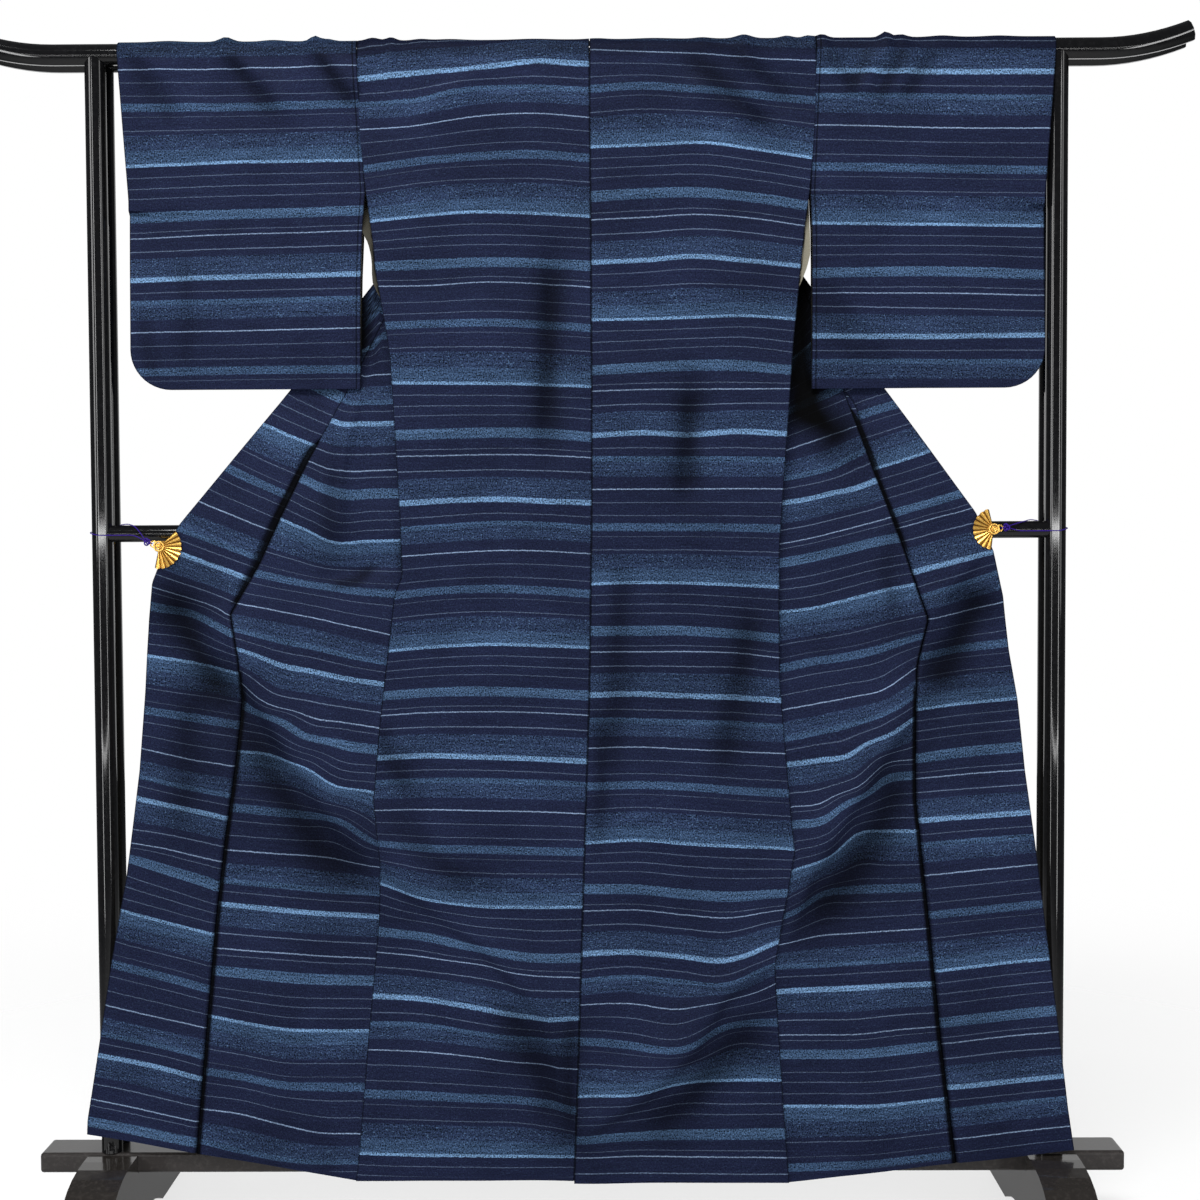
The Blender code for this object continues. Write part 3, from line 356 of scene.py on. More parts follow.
WEFT_FRONT_RIGHT = weft_table(
    [-236, -194, -164, -99, -69, 0, 79, 136, 177, 206, 273, 303, 372, 450, 508, 549, 578, 645, 675, 744,
        822],
    [1134, 1093, 1059, 1001, 974, 906, 823, 764, 722, 688, 625, 599, 535, 468, 427, 395, 361, 295, 267,
        193, 101],
    [10, 6, 6, 8, 8, 6, 10, 8, 9, 6, 7, 9, 20, 31, 11, 1, 2, 0, 0, 0, 2],
    [9, 8, 8, 10, 10, 12, 7, 9, 11, 9, 21, 29, 32, 6, 4, 3, 2, 1, 1, 0, 3],
    [8, 14, 7, 10, 10, 12, 13, 11, 16, 25, 34, 26, 4, 2, 3, 3, 3, 6, 5, 4, 6],
    [8, 13, 11, 10, 8, 9, 16, 32, 27, 27, 6, 8, 1, 2, 4, 5, 3, 5, 7, 7, 7])
WEFT_OVERLAP_LEFT = weft_table(
    [0, 79, 136, 208, 273, 303, 372, 450, 508, 580, 645, 675, 744, 822, 879, 952, 1017, 1047],
    [1146, 1071, 1022, 953, 902, 876, 822, 745, 686, 611, 548, 512, 445, 363, 307, 232, 170, 139],
    [16, 22, 23, 23, 23, 29, 14, 12, 11, 15, 16, 22, 18, 21, 18, 21, 17, 16],
    [16, 21, 21, 22, 19, 12, 12, 11, 15, 15, 12, 20, 18, 18, 17, 15, 17, 16])
WEFT_OVERLAP_RIGHT = weft_table(
    [-79, 0, 69, 99, 164, 192, 236, 293, 372, 440, 470, 536, 563, 608, 665, 744, 812, 842, 864, 907, 935,
        980],
    [1182, 1105, 1042, 1022, 959, 927, 893, 839, 762, 694, 665, 604, 573, 525, 468, 384, 312, 282, 260,
        218, 187, 141],
    [10, 13, 15, 15, 15, 17, 11, 12, 8, 10, 7, 6, 7, 8, 8, 10, 9, 9, 9, 8, 10, 11],
    [8, 13, 14, 14, 14, 18, 13, 8, 7, 7, 6, 6, 6, 8, 8, 8, 9, 8, 7, 9, 9, 9])
WEFT_SLEEVE_LEFT = weft_table(
    [-136, -79, 0, 69, 99, 121, 164, 192, 236, 293],
    [1677, 1624, 1539, 1469, 1440, 1421, 1381, 1352, 1307, 1251],
    [0, 0, 5, 4, 5, 4, 4, 2, 2, 2],
    [4, 4, 2, 4, 4, 4, 3, 3, 3, 1])
WEFT_SLEEVE_RIGHT = weft_table(
    [-208, -180, -136, -79, 0, 69, 99, 121, 164, 192],
    [1669, 1638, 1594, 1536, 1454, 1385, 1357, 1339, 1297, 1264],
    [-2, -2, -5, -4, -3, 2, -1, -4, -2, -1],
    [-1, -3, -2, -4, -2, -5, -3, -4, 2, -1])
LEFT.update(back_weft=WEFT_BACK_LEFT, front_weft=WEFT_FRONT_LEFT, overlap_weft=WEFT_OVERLAP_LEFT)
RIGHT.update(back_weft=WEFT_BACK_RIGHT, front_weft=WEFT_FRONT_RIGHT, overlap_weft=WEFT_OVERLAP_RIGHT)
# Where the back's stripes leave the even repeat, and by how much
LEFT["back_jump"], RIGHT["back_jump"] = (118.7, 129.4), (190.2, 123.7)

BACK_COLUMNS = 64
NECK_COLUMN = 21
ARM_COLUMNS = BACK_COLUMNS - NECK_COLUMN
TURN_COLUMNS = 6
FLAP_COLUMNS = 40
OVERLAP_COLUMNS = 28
LIP_COLUMNS = 4
SLEEVE_COLUMNS = 52
COLLAR_COLUMNS = 12
ROW_STEP = 6.5
WRAP_STEPS = 14
WRAP_ANGLES = [math.pi * i / WRAP_STEPS for i in range(WRAP_STEPS + 1)]
TO_VIEWER = (0, -1, 0)


def linear(red, green, blue):
    """A screen colour, 0 to 255, as scene colour."""
    parts = (red, green, blue)
    return tuple(((c / 255 + 0.055) / 1.055) ** 2.4 if c > 10 else c / 255 / 12.92 for c in parts)


COLOUR = {"subtype": "COLOR", "min": 0, "max": 1}
FACTOR = {"subtype": "FACTOR", "min": 0, "max": 1}
LENGTH = {"subtype": "DISTANCE", "unit": "LENGTH"}


class KimonoCloth(bpy.types.PropertyGroup):
    thickness: bpy.props.FloatProperty(
        name="Thickness", description="Thickness of the lined cloth", default=1.1 * MM, min=0.5 * MM,
        max=1.5 * MM, **LENGTH)
    repeat: bpy.props.FloatProperty(
        name="Repeat", description="Length of one repeat of the weft stripes", default=REPEAT * MM,
        min=0.05, **LENGTH)
    ground: bpy.props.FloatVectorProperty(
        name="Ground", description="Colour of the plain ground", default=linear(24, 29, 51), **COLOUR)
    medium: bpy.props.FloatVectorProperty(
        name="Medium", description="Colour of the darker bands", default=linear(35, 47, 71), **COLOUR)
    band: bpy.props.FloatVectorProperty(
        name="Band", description="Colour of the broad bands", default=linear(48, 67, 93), **COLOUR)
    bright: bpy.props.FloatVectorProperty(
        name="Bright", description="Colour of the bright lines", default=linear(86, 114, 146), **COLOUR)
    pale: bpy.props.FloatVectorProperty(
        name="Pale", description="Colour of the thin pale lines", default=linear(122, 142, 170), **COLOUR)
    lining: bpy.props.FloatVectorProperty(
        name="Lining", description="Colour of the lining", default=linear(128, 124, 110), **COLOUR)
    roughness: bpy.props.FloatProperty(
        name="Roughness", description="Roughness of the silk", default=0.58, **FACTOR)


class KimonoStand(bpy.types.PropertyGroup):
    lacquer: bpy.props.FloatVectorProperty(
        name="Lacquer", description="Colour of the black lacquer", default=(0.0035, 0.0035, 0.0040), **COLOUR)
    satin: bpy.props.FloatVectorProperty(
        name="Satin", description="Colour of the rail", default=linear(46, 43, 42), **COLOUR)
    foot: bpy.props.FloatVectorProperty(
        name="Foot", description="Colour of the feet", default=linear(40, 37, 35), **COLOUR)
    gloss: bpy.props.FloatProperty(
        name="Roughness", description="Roughness of the lacquer", default=0.07, **FACTOR)


class KimonoTrim(bpy.types.PropertyGroup):
    gold: bpy.props.FloatVectorProperty(
        name="Gold", description="Colour of the clips", default=(0.84, 0.52, 0.13), **COLOUR)
    purple: bpy.props.FloatVectorProperty(
        name="Purple", description="Colour of the cords", default=linear(50, 12, 140), **COLOUR)
    ribs: bpy.props.IntProperty(name="Ribs", description="Ribs of each fan", default=FAN_RIBS, min=4, max=20)
    cord_diameter: bpy.props.FloatProperty(
        name="Cord diameter", description="Diameter of the purple cords", default=2 * CORD_RADIUS * MM,
        min=0.001, **LENGTH)


class KimonoStage(bpy.types.PropertyGroup):
    floor: bpy.props.FloatVectorProperty(
        name="Floor", description="Colour of the floor", default=(0.86, 0.86, 0.86), **COLOUR)
    lens: bpy.props.FloatProperty(
        name="Lens", description="Focal length of the camera in millimetres", default=55.86, min=10)


def curve_through(places, values, at, beyond=False):
    """A smooth line through a table that never swings past its rows, at many places."""
    places, values = np.asarray(places, float), np.asarray(values, float)
    order = np.argsort(places)
    places, values = places[order], values[order]
    steps = np.diff(places)
    slopes = np.diff(values) / steps
    tangents = np.zeros(len(places))
    if len(places) > 2:
        same = slopes[:-1] * slopes[1:] > 0
        first, second = 2 * steps[1:] + steps[:-1], steps[1:] + 2 * steps[:-1]
        safe = np.where(same, slopes[:-1], 1.0), np.where(same, slopes[1:], 1.0)
        tangents[1:-1] = np.where(same, (first + second) / (first / safe[0] + second / safe[1]), 0.0)
    tangents[0], tangents[-1] = slopes[0], slopes[-1]
    at = np.asarray(at, float)
    i = np.clip(np.searchsorted(places, at) - 1, 0, len(places) - 2)
    raw = (at - places[i]) / steps[i]
    t = np.clip(raw, 0, 1)
    value = (
        values[i] * (2 * t**3 - 3 * t**2 + 1) + values[i + 1] * (3 * t**2 - 2 * t**3)
        + steps[i] * (tangents[i] * (t**3 - 2 * t**2 + t) + tangents[i + 1] * (t**3 - t**2))
    )
    if beyond:
        end_slope = (values[-1] - values[0]) / (places[-1] - places[0])
        value = value + (raw - t) * steps[i] * end_slope
    return value


def smooth_step(low, high, value):
    t = np.clip((np.asarray(value, float) - low) / (high - low), 0.0, 1.0)
    return t * t * (3 - 2 * t)


def near_bar(z):
    """0 up to 12 mm below the bar's axis and 1 on it."""
    return smooth_step(BAR_Z - 12, BAR_Z, z)


def layer_y(layer, z):
    """The solids' own straight table, so that the layers keep their order."""
    z = np.asarray(z, float)
    return np.interp(z, LAYERS["z"][::-1], LAYERS[layer][::-1])


def line_x(side, line, z):
    return np.interp(z, side[f"{line}_z"][::-1], side[f"{line}_x"][::-1])


def centre_x(z):
    return curve_through(CENTRE["z"], CENTRE["x"], z)


def waviness(x, z):
    """The slight waviness that hung silk always has."""
    return WAVE_HEIGHT * (
        np.sin(x / 31 + 0.7 * np.sin(z / 83)) * np.sin(z / 119 + 1.3)
        + 0.8 * np.sin(x / 47 - z / 71 + 2.1)
        + 0.6 * np.sin(x / 23 + z / 97 + 0.4 * np.sin(x / 61))
        + 0.4 * np.sin(z / 29 + x / 140 + 1.9)
    )


def calm_above(z):
    """Takes the waviness away where the cloth is drawn over the bar."""
    return 1 - smooth_step(1640, 1700, z)


def relief(x, z):
    """How far the broad folds lift every layer towards the viewer."""
    total = np.zeros_like(x)
    for x0, z0, x1, z1, width, height in FOLDS:
        run_x, run_z = x1 - x0, z1 - z0
        share = ((x - x0) * run_x + (z - z0) * run_z) / (run_x**2 + run_z**2)
        share = np.clip(share, 0.0, 1.0)
        away = np.hypot(x - x0 - share * run_x, z - z0 - share * run_z)
        total += height * np.exp(-((away / width) ** 2))
    return total * (1 - smooth_step(BAR_Z - 2 * RELIEF_FADE, BAR_Z - RELIEF_FADE, z))


def creased(x, z, creases):
    """The height of a table's creases; each fades at both ends and is steeper on one side."""
    # With a table of shades the height is how dark the painted shade is.
    total = np.zeros_like(x)
    for number, (side_width, height, lean, *line) in enumerate(creases):
        line = np.array(line, float)
        lengths = np.linalg.norm(np.diff(line, axis=0), axis=1)
        starts = np.concatenate([[0], np.cumsum(lengths)])
        best, signed, reached = np.full(x.shape, np.inf), np.zeros_like(x), np.zeros_like(x)
        for k in range(len(lengths)):
            way = (line[k + 1] - line[k]) / lengths[k]
            along = np.clip((x - line[k][0]) * way[0] + (z - line[k][1]) * way[1], 0, lengths[k])
            off_x, off_z = x - line[k][0] - along * way[0], z - line[k][1] - along * way[1]
            away = np.hypot(off_x, off_z)
            nearer = away < best
            best = np.where(nearer, away, best)
            signed = np.where(nearer, np.sign(way[0] * off_z - way[1] * off_x) * away, signed)
            reached = np.where(nearer, (starts[k] + along) / starts[-1], reached)
        width = side_width * (1 + lean * np.tanh(signed / side_width))
        width = width * (1 + 0.18 * np.sin(reached * 9 + number))
        fade = smooth_step(-0.12, 0.22, reached) * (1 - smooth_step(0.78, 1.12, reached))
        total += height * fade * np.exp(-((signed / width) ** 2))
    return total


def weft_length(table, z, share):
    """How far along the cloth a place is, from the table's heights; share runs across the panel."""
    columns = [curve_through(heights, table["length"], z, beyond=True) for heights in table["heights"]]
    count = len(columns)
    stack = np.stack([2 * columns[0] - columns[1], *columns, 2 * columns[-1] - columns[-2]])
    place = np.clip(share, 0, 1) * (count - 1)
    i = np.clip(np.floor(place).astype(int), 0, count - 2)
    t = place - i
    p0, p1, p2, p3 = (np.take_along_axis(stack, (i + k)[None], axis=0)[0] for k in range(4))
    return p1 + 0.5 * t * (p2 - p0 + t * (2 * p0 - 5 * p1 + 4 * p2 - p3 + t * (3 * (p1 - p2) + p3 - p0)))


def bar_ripple(x):
    return sum(height * np.exp(-(((x - place) / width) ** 2)) for place, width, height in RIPPLES)


def wrap_point(x, angle):
    """The cloth over the bar: angle 0 is in front, 90 on top and 180 behind."""
    share = 0.6 + 0.4 * math.sin(angle) if angle < math.pi / 2 else math.sin(angle) ** 2
    radius = WRAP_RADIUS + bar_ripple(x) * share
    return np.stack([x, FRONT_FRAME_Y - radius * np.cos(angle), BAR_Z + radius * np.sin(angle)], -1)


def below_bar(x, z):
    """The small rises at the bar as they run out down the face of the cloth, a little outwards."""
    return 0.6 * bar_ripple(x - 0.25 * np.sign(x) * (BAR_Z - z)) * smooth_step(1630, BAR_Z, z)


def turned_in(grid, depth, first=False):
    """Turns the last lengthwise edge of a panel, or its first, back into its seam by a depth for each row."""
    grid = [values[:, ::-1] if first else values for values in grid]
    points = grid[0]
    apart = np.linalg.norm(points[:, -1] - points[:, -2], axis=-1)
    share = np.minimum(1.3 / np.maximum(apart, 1e-6), 0.6)[:, None, None]
    back = np.stack([np.zeros_like(depth), depth, np.zeros_like(depth)], -1)[:, None]
    made = []
    for values in grid:
        flat = values[..., None] if values.ndim == 2 else values
        edge, near = flat[:, -1:], flat[:, -2:-1]
        steps = [edge + back * part if values is points else edge for part in (0.2, 0.55, 1.0)]
        joined = np.concatenate([flat[:, :-1], edge + (near - edge) * share, edge, *steps], axis=1)
        joined = joined[..., 0] if values.ndim == 2 else joined
        made.append(joined[:, ::-1] if first else joined)
    return made


def spaced(high, low, step):
    """Heights from high to low, both kept, about a step apart."""
    return np.linspace(high, low, max(2, int(round((high - low) / step)) + 1))


def back_rows(side):
    """The back panel from the hem up to the bar, and over it, from the centre back seam to the side."""
    shares = np.linspace(0, 1, BACK_COLUMNS + 1)
    seam = side["sign"] * SEAM_HALF
    centre, neck, arm = centre_x(BAR_Z) + seam, line_x(side, "fold", BAR_Z), line_x(side, "side", BAR_Z)
    top = np.concatenate([
        np.linspace(centre, neck, NECK_COLUMN + 1)[:-1], np.linspace(neck, arm, ARM_COLUMNS + 1)])
    heights = spaced(BAR_Z, side["hem_z"], ROW_STEP)[::-1][:-1]
    points, cloth, edges = [], [], []
    for z in heights:
        inner, outer = float(centre_x(z)) + seam, float(line_x(side, "side", z))
        x = inner + (outer - inner) * shares
        x = x + (top - x) * smooth_step(1480, BAR_Z, z)
        points.append(np.stack([x, np.full_like(x, layer_y("back", z)), np.full_like(x, z)], -1))
        share = (x - inner) / (outer - inner)
        lengths = weft_length(side["back_weft"], np.full_like(x, z), share)
        cloth.append(np.stack([np.abs(x - inner), lengths], -1))
        edge = np.minimum(np.abs(x - inner), np.abs(outer - x))
        edges.append(np.stack([edge, np.full_like(x, z - side["hem_z"])], -1))
    shares = np.abs(top - centre) / abs(arm - centre)
    at_bar = weft_length(side["back_weft"], np.full_like(top, BAR_Z), shares)
    edge = np.minimum(np.abs(top - centre), np.abs(arm - top))
    for angle in WRAP_ANGLES:
        points.append(wrap_point(top, angle))
        cloth.append(np.stack([np.abs(top - centre), at_bar - WRAP_RADIUS * angle], -1))
        edges.append(np.stack([edge, np.full_like(top, BAR_Z - side["hem_z"])], -1))
    points, cloth, edges = np.array(points), np.array(cloth), np.array(edges)
    n = len(heights)
    x, z = points[:n, :, 0], points[:n, :, 2]
    rise = relief(x, z) + creased(x, z, BACK_CREASES) * (1 - near_bar(z)) + waviness(x, z) * calm_above(z)
    points[:n, :, 1] -= rise + below_bar(x, z)
    # Painted shade: in the creases, and where the cloth turns over the bar
    shade = np.full(points.shape[:2], TOP_SHADE)
    shade[:n] = np.maximum(creased(x, z, BACK_SHADES), TOP_SHADE * near_bar(z))
    depth = np.zeros(len(points))
    depth[:n] = LIP_DEPTH * (1 - smooth_step(1660, 1695, z[:, 0]))
    return turned_in([points, cloth, edges, shade], depth, first=True)


def row_slope(side, z):
    return side["hem_slope"] * (1 - smooth_step(850.0, 1150.0, z))


def meet(side, line, start_x, start_z, slope):
    """Where a row that rises outwards from a point meets a line of the side."""
    z = start_z
    for _ in range(12):
        z = start_z + slope * abs(line_x(side, line, z) - start_x)
    return float(line_x(side, line, z)), float(z)


def front_row(side, z):
    """From the side seam in to the fold, round it, and out along the flap to the overlap seam."""
    sign, below = side["sign"], z < side["notch_z"]
    outer, folded = float(line_x(side, "side", z)), float(line_x(side, "fold", z))
    side_y, inner_y, flap_y = (float(layer_y(name, z)) for name in ("side", "inner", "flap"))
    shares = np.linspace(0, 1, ARM_COLUMNS + 1)
    x = np.full(ARM_COLUMNS + 1, outer) if below else outer + (folded - outer) * shares
    y = np.full(ARM_COLUMNS + 1, side_y) if below else side_y + (inner_y - side_y) * smooth_step(0, 1, shares)
    strip = np.stack([x, y, np.full_like(x, z)], -1)
    last_x, last_y = x[-1], y[-1]
    slope = float(row_slope(side, z))
    seam, seam_z = meet(side, "edge" if z >= side["kensaki_z"] else "seam", outer, z, slope)
    angle = math.pi * np.arange(1, TURN_COLUMNS + 1) / TURN_COLUMNS
    if below:
        turn_x = last_x + sign * FOLD_OUT * (1 - np.cos(angle / 2))
        turn_y = last_y + (flap_y - last_y) * (1 - np.cos(angle)) / 2
    else:
        radius = max((flap_y - last_y) / 2, 0.0)
        turn_x = last_x - sign * radius * np.sin(angle)
        turn_y = last_y + radius * (1 - np.cos(angle))
    turn = np.stack([turn_x, turn_y, z + slope * np.abs(turn_x - last_x)], -1)
    shares = 1 - (1 - np.arange(1, FLAP_COLUMNS + 1) / FLAP_COLUMNS) ** 1.15
    flap_x = turn[-1, 0] + (seam - sign * SEAM_HALF - turn[-1, 0]) * shares
    flap_z = turn[-1, 2] + (seam_z - turn[-1, 2]) * shares
    return np.concatenate([strip, turn, np.stack([flap_x, layer_y("flap", flap_z), flap_z], -1)])


def flap_rise(side, x, z):
    """Creases of the fronts' open part, which fade where the back panel lies over it."""
    out = (x - line_x(side, "side", z)) * side["sign"]
    rise = creased(x, z, FRONT_CREASES) + waviness(x, z)
    return rise * smooth_step(0.0, 26.0, out) * (1 - smooth_step(1225, 1300, z))


def armhole_climb(side, x, z):
    """How much further along the cloth a stripe lies where the left front comes out from under the back."""
    return side["climb"] * smooth_step(1245, 1295, z) * np.maximum(0.0, (x - side["climb_x"]) * side["sign"])


def seam_groove_and_shadow(side, panel, away, z):
    """The strip beside the overlap seam in the shadow of the seam's fold: painted shade, and on the overlap
    also a groove.
    """
    table = SEAM_GROOVE_AND_SHADOW[side["name"]]
    reach = np.interp(z, table["z"][::-1], table[panel][::-1])
    return 0.95 * (1 - smooth_step(0.85, 1.12, away / np.maximum(reach, 0.01)))


def front_rows(side, first_row, first_cloth):
    """The front from the bar down to its hem, as one grid that starts on the wrap's last row."""
    heights = np.concatenate([
        spaced(BAR_Z, side["tip_z"], ROW_STEP)[1:-1], spaced(side["tip_z"], side["kensaki_z"], ROW_STEP)[:-1],
        [side["kensaki_z"] + 0.01], spaced(side["kensaki_z"], side["notch_z"], ROW_STEP)[1:],
        spaced(side["notch_z"] - 3, side["hem_z"], ROW_STEP),
    ])
    rows = []
    for z in heights:
        row = front_row(side, float(z))
        if z >= side["tip_z"]:
            row[ARM_COLUMNS + 1 :] = row[ARM_COLUMNS]
        if z == side["notch_z"]:
            row[:ARM_COLUMNS] = row[0]
        rows.append(row)
    rows = np.array(rows)
    out = np.interp(heights, side["flare_z"][::-1], side["flare_x"][::-1])[:, None]
    rows[:, : ARM_COLUMNS + 1, 0] += side["sign"] * out * (1 - np.linspace(0, 1, ARM_COLUMNS + 1)) ** 6
    x, z = rows[..., 0].copy(), rows[..., 2].copy()
    seam, outer = line_x(side, "seam", z), line_x(side, "side", z)
    share = np.clip((x - outer) / (seam - outer), 0, 1)
    flap = np.zeros_like(x)
    flap[:, ARM_COLUMNS + 1 :] = 1.0
    measured = -weft_length(side["front_weft"], z, share * flap)
    rows[..., 1] -= relief(x, z) + flap_rise(side, x, z) * flap
    turned, start = (
        np.concatenate([row, np.repeat(row[-1:], rows.shape[1] - len(row), axis=0)])
        for row in (first_row, first_cloth))
    shift = float(start[:, 1].mean() - measured[0].mean() - (BAR_Z - heights[0]))
    cloth = np.stack([np.abs(x - seam), measured + shift + armhole_climb(side, x, z) * flap], -1)
    above_hem = np.maximum(0, rows[..., 2] - side["hem_z"] - side["hem_slope"] * np.abs(x - outer))
    edges = np.stack([np.where(flap > 0, np.abs(seam - x), np.abs(outer - x)), above_hem], -1)
    # Painted shade: on the open front in the creases and beside the overlap seam, and on the part under the
    # back panel, darkest near the top of the armhole
    shade = np.maximum(creased(x, z, FRONT_SHADES), seam_groove_and_shadow(side, "body", np.abs(x - seam), z)) * flap
    shade = np.maximum(shade, (1 - flap) * np.maximum(side["flare_shade"], 0.9 * smooth_step(1455, 1490, z)))
    points = np.concatenate([turned[None], rows])
    cloth = np.concatenate([start[None], cloth])
    edges, shade = (np.concatenate([values[:1], values]) for values in (edges, shade))
    depth = LIP_DEPTH * (1 - smooth_step(side["kensaki_z"] - 40, side["kensaki_z"] - 10, points[:, -1, 2]))
    return *turned_in([points, cloth, edges, shade], depth), shift


def overlap_ends(side, z):
    """Where the overlap's row starts, on its seam, and where it ends, on the front edge."""
    slope = float(row_slope(side, z))
    start = meet(side, "seam", float(line_x(side, "side", z)), float(z), slope)
    return start, meet(side, "edge", start[0], start[1], slope)


def overlap_rows(side):
    """The overlap panel from its tip down to its hem, from its seam to the front edge."""
    heights = np.concatenate([
        spaced(side["kensaki_z"] - TIP_DROP, side["notch_z"], ROW_STEP),
        spaced(side["notch_z"] - 3, side["hem_z"], ROW_STEP)])
    half = side["sign"] * SEAM_HALF
    shares = np.linspace(0, 1, OVERLAP_COLUMNS + 1)
    rows = []
    for z in heights:
        start, end = overlap_ends(side, z)
        x = start[0] + half + (end[0] - start[0] - half) * shares
        z_row = start[1] + (end[1] - start[1]) * shares
        rows.append(np.stack([x, layer_y("flap", z_row), z_row], -1))
    points = np.array(rows)
    x, z = points[..., 0].copy(), points[..., 2].copy()
    seam, edge = line_x(side, "seam", z), line_x(side, "edge", z)
    share = (x - seam) / (edge - seam)
    length = side["sign"] * weft_length(side["overlap_weft"], z, share) + armhole_climb(side, x, z)
    # The strip beside the seam: the cloth sinks into a groove there, and it is painted dark as the fold's
    # shadow
    strip = seam_groove_and_shadow(side, "overlap", np.abs(x - seam), z)
    points[..., 1] -= relief(x, z) + flap_rise(side, x, z)
    points[..., 1] += SEAM_HOLLOW * strip
    cloth = np.stack([np.abs(x - seam), length], -1)
    edges = np.stack([np.minimum(np.abs(x - seam), np.abs(edge - x)), z - points[-1:, :, 2]], -1)
    # Painted shade in the creases and in the strip beside the seam
    shade = np.maximum(creased(x, z, FRONT_SHADES), strip)
    return turned_in([points, cloth, edges, shade], np.full(len(points), LIP_DEPTH), first=True)


def sleeve_wall(sleeve, above, front):
    """One row across the front or the rear wall of a sleeve, at a height above its bottom."""
    bottom, corner = sleeve["bottom"], sleeve["corner"]
    z = bottom + above
    inner = float(np.interp(z, sleeve["inner_z"][::-1], sleeve["inner"][::-1]))
    outer = float(np.interp(max(z, bottom + corner), sleeve["z"][::-1], sleeve["outer"][::-1]))
    if above < corner:
        outer -= math.copysign(1, outer) * (corner - math.sqrt(max(corner**2 - (corner - above) ** 2, 0.0)))
    drop = (BAR_Z - z) / (BAR_Z - bottom)
    wall = FRONT_FRAME_Y - WRAP_RADIUS + SLEEVE_FRONT_IN * drop**1.5
    if not front:
        wall = FRONT_FRAME_Y + WRAP_RADIUS - SLEEVE_REAR_IN * drop**1.5
    shares = np.linspace(0, 1, SLEEVE_COLUMNS + 1)
    x = inner + (outer - inner) * shares
    closed_side = smooth_step(0.62, 1.0, shares) if z < BAR_Z - CUFF_BELOW_BAR else 0.0 * shares
    closed_low = 1 - smooth_step(0.0, 1.0, above / SLEEVE_CLOSING)
    closed = 1 - (1 - closed_side) * (1 - closed_low)
    shut = FRONT_FRAME_Y - 4.0 + (-SLEEVE_FOLD / 2 if front else SLEEVE_FOLD / 2)
    return np.stack([x, wall + (shut - wall) * closed, np.full_like(x, z)], -1)


def sleeve_rows(sleeve, weft):
    """The bag of a sleeve as one closed loop of rows, and the strip that shuts its outer side."""
    low = sleeve["corner"] * (1 - np.cos(np.linspace(0, math.pi / 2, 12)))
    heights = np.concatenate([low[:-1], spaced(BAR_Z - sleeve["bottom"], sleeve["corner"], ROW_STEP)[::-1]])
    front, rear = ([sleeve_wall(sleeve, above, facing) for above in heights[:-1]] for facing in (True, False))
    inner, outer = sleeve["inner"][0], sleeve["outer"][0]
    top = np.linspace(inner, outer, SLEEVE_COLUMNS + 1)
    wrap = [wrap_point(top, angle) for angle in WRAP_ANGLES]
    points = np.array([*front, *wrap, *rear[::-1], front[0]])
    share = np.broadcast_to(np.linspace(0, 1, SLEEVE_COLUMNS + 1), points.shape[:2])
    if inner < 0:
        share = 1 - share
    length = weft_length(weft, np.minimum(points[..., 2], BAR_Z), share)
    n, last = len(front), len(front) + WRAP_STEPS
    for i in range(WRAP_STEPS + 1):
        length[n + i] = length[n] - WRAP_RADIUS * math.pi * i / WRAP_STEPS
    length[last + 1 : -1] = length[last] - (BAR_Z - points[last + 1 : -1, :, 2])
    length[-1] = length[-2]
    x, z = points[..., 0].copy(), points[..., 2].copy()
    rise = creased(x, z, SLEEVE_CREASES) * (1 - near_bar(z))
    rise += waviness(x, z) * calm_above(z) * smooth_step(0, 60, z - sleeve["bottom"])
    rise += 0.5 * np.sin(x / 9.5 + z / 210) * smooth_step(1300, 1500, z) * (1 - smooth_step(1600, 1690, z))
    loose = np.ones_like(x)
    loose[n : last + 1] = 0.0
    points[..., 1] -= rise * loose
    points[:n, :, 1] -= below_bar(x[:n], z[:n])
    # Painted shade: in the creases, and where the cloth turns over the bar
    shade = np.maximum(creased(x, z, SLEEVE_SHADES) * loose, TOP_SHADE * near_bar(z))
    edge = np.minimum(np.abs(x - x[:, :1]), np.abs(x[:, -1:] - x))
    cloth = np.stack([np.abs(x - x[:, :1]), length], -1)
    edges = np.stack([edge, z - sleeve["bottom"]], -1)
    shut_rows = [i for i in range(n) if heights[i] <= BAR_Z - sleeve["bottom"] - CUFF_BELOW_BAR + 1]
    strip = np.array([[points[i, -1], points[last + n - i, -1]] for i in shut_rows])
    strip_cloth, strip_edges = (
        np.array([[values[i, -1]] * 2 for i in shut_rows]) for values in (cloth, edges))
    return [(points, cloth, edges, shade), (strip, strip_cloth, strip_edges, np.zeros(strip.shape[:2]))]


def flap_line(side, z):
    """The flap and the overlap together, from the fold out to the front edge, on one row."""
    points = front_row(side, z)[ARM_COLUMNS + TURN_COLUMNS :]
    if z < side["kensaki_z"] - TIP_DROP:
        start, end = overlap_ends(side, z)
        more = np.linspace(0, 1, 6)
        x = start[0] + (end[0] - start[0]) * more
        z_row = start[1] + (end[1] - start[1]) * more
        points = np.concatenate([points, np.stack([x, layer_y("flap", z_row), z_row], -1)])
    points[:, 1] -= relief(points[:, 0], points[:, 2]) + flap_rise(side, points[:, 0], points[:, 2])
    return points


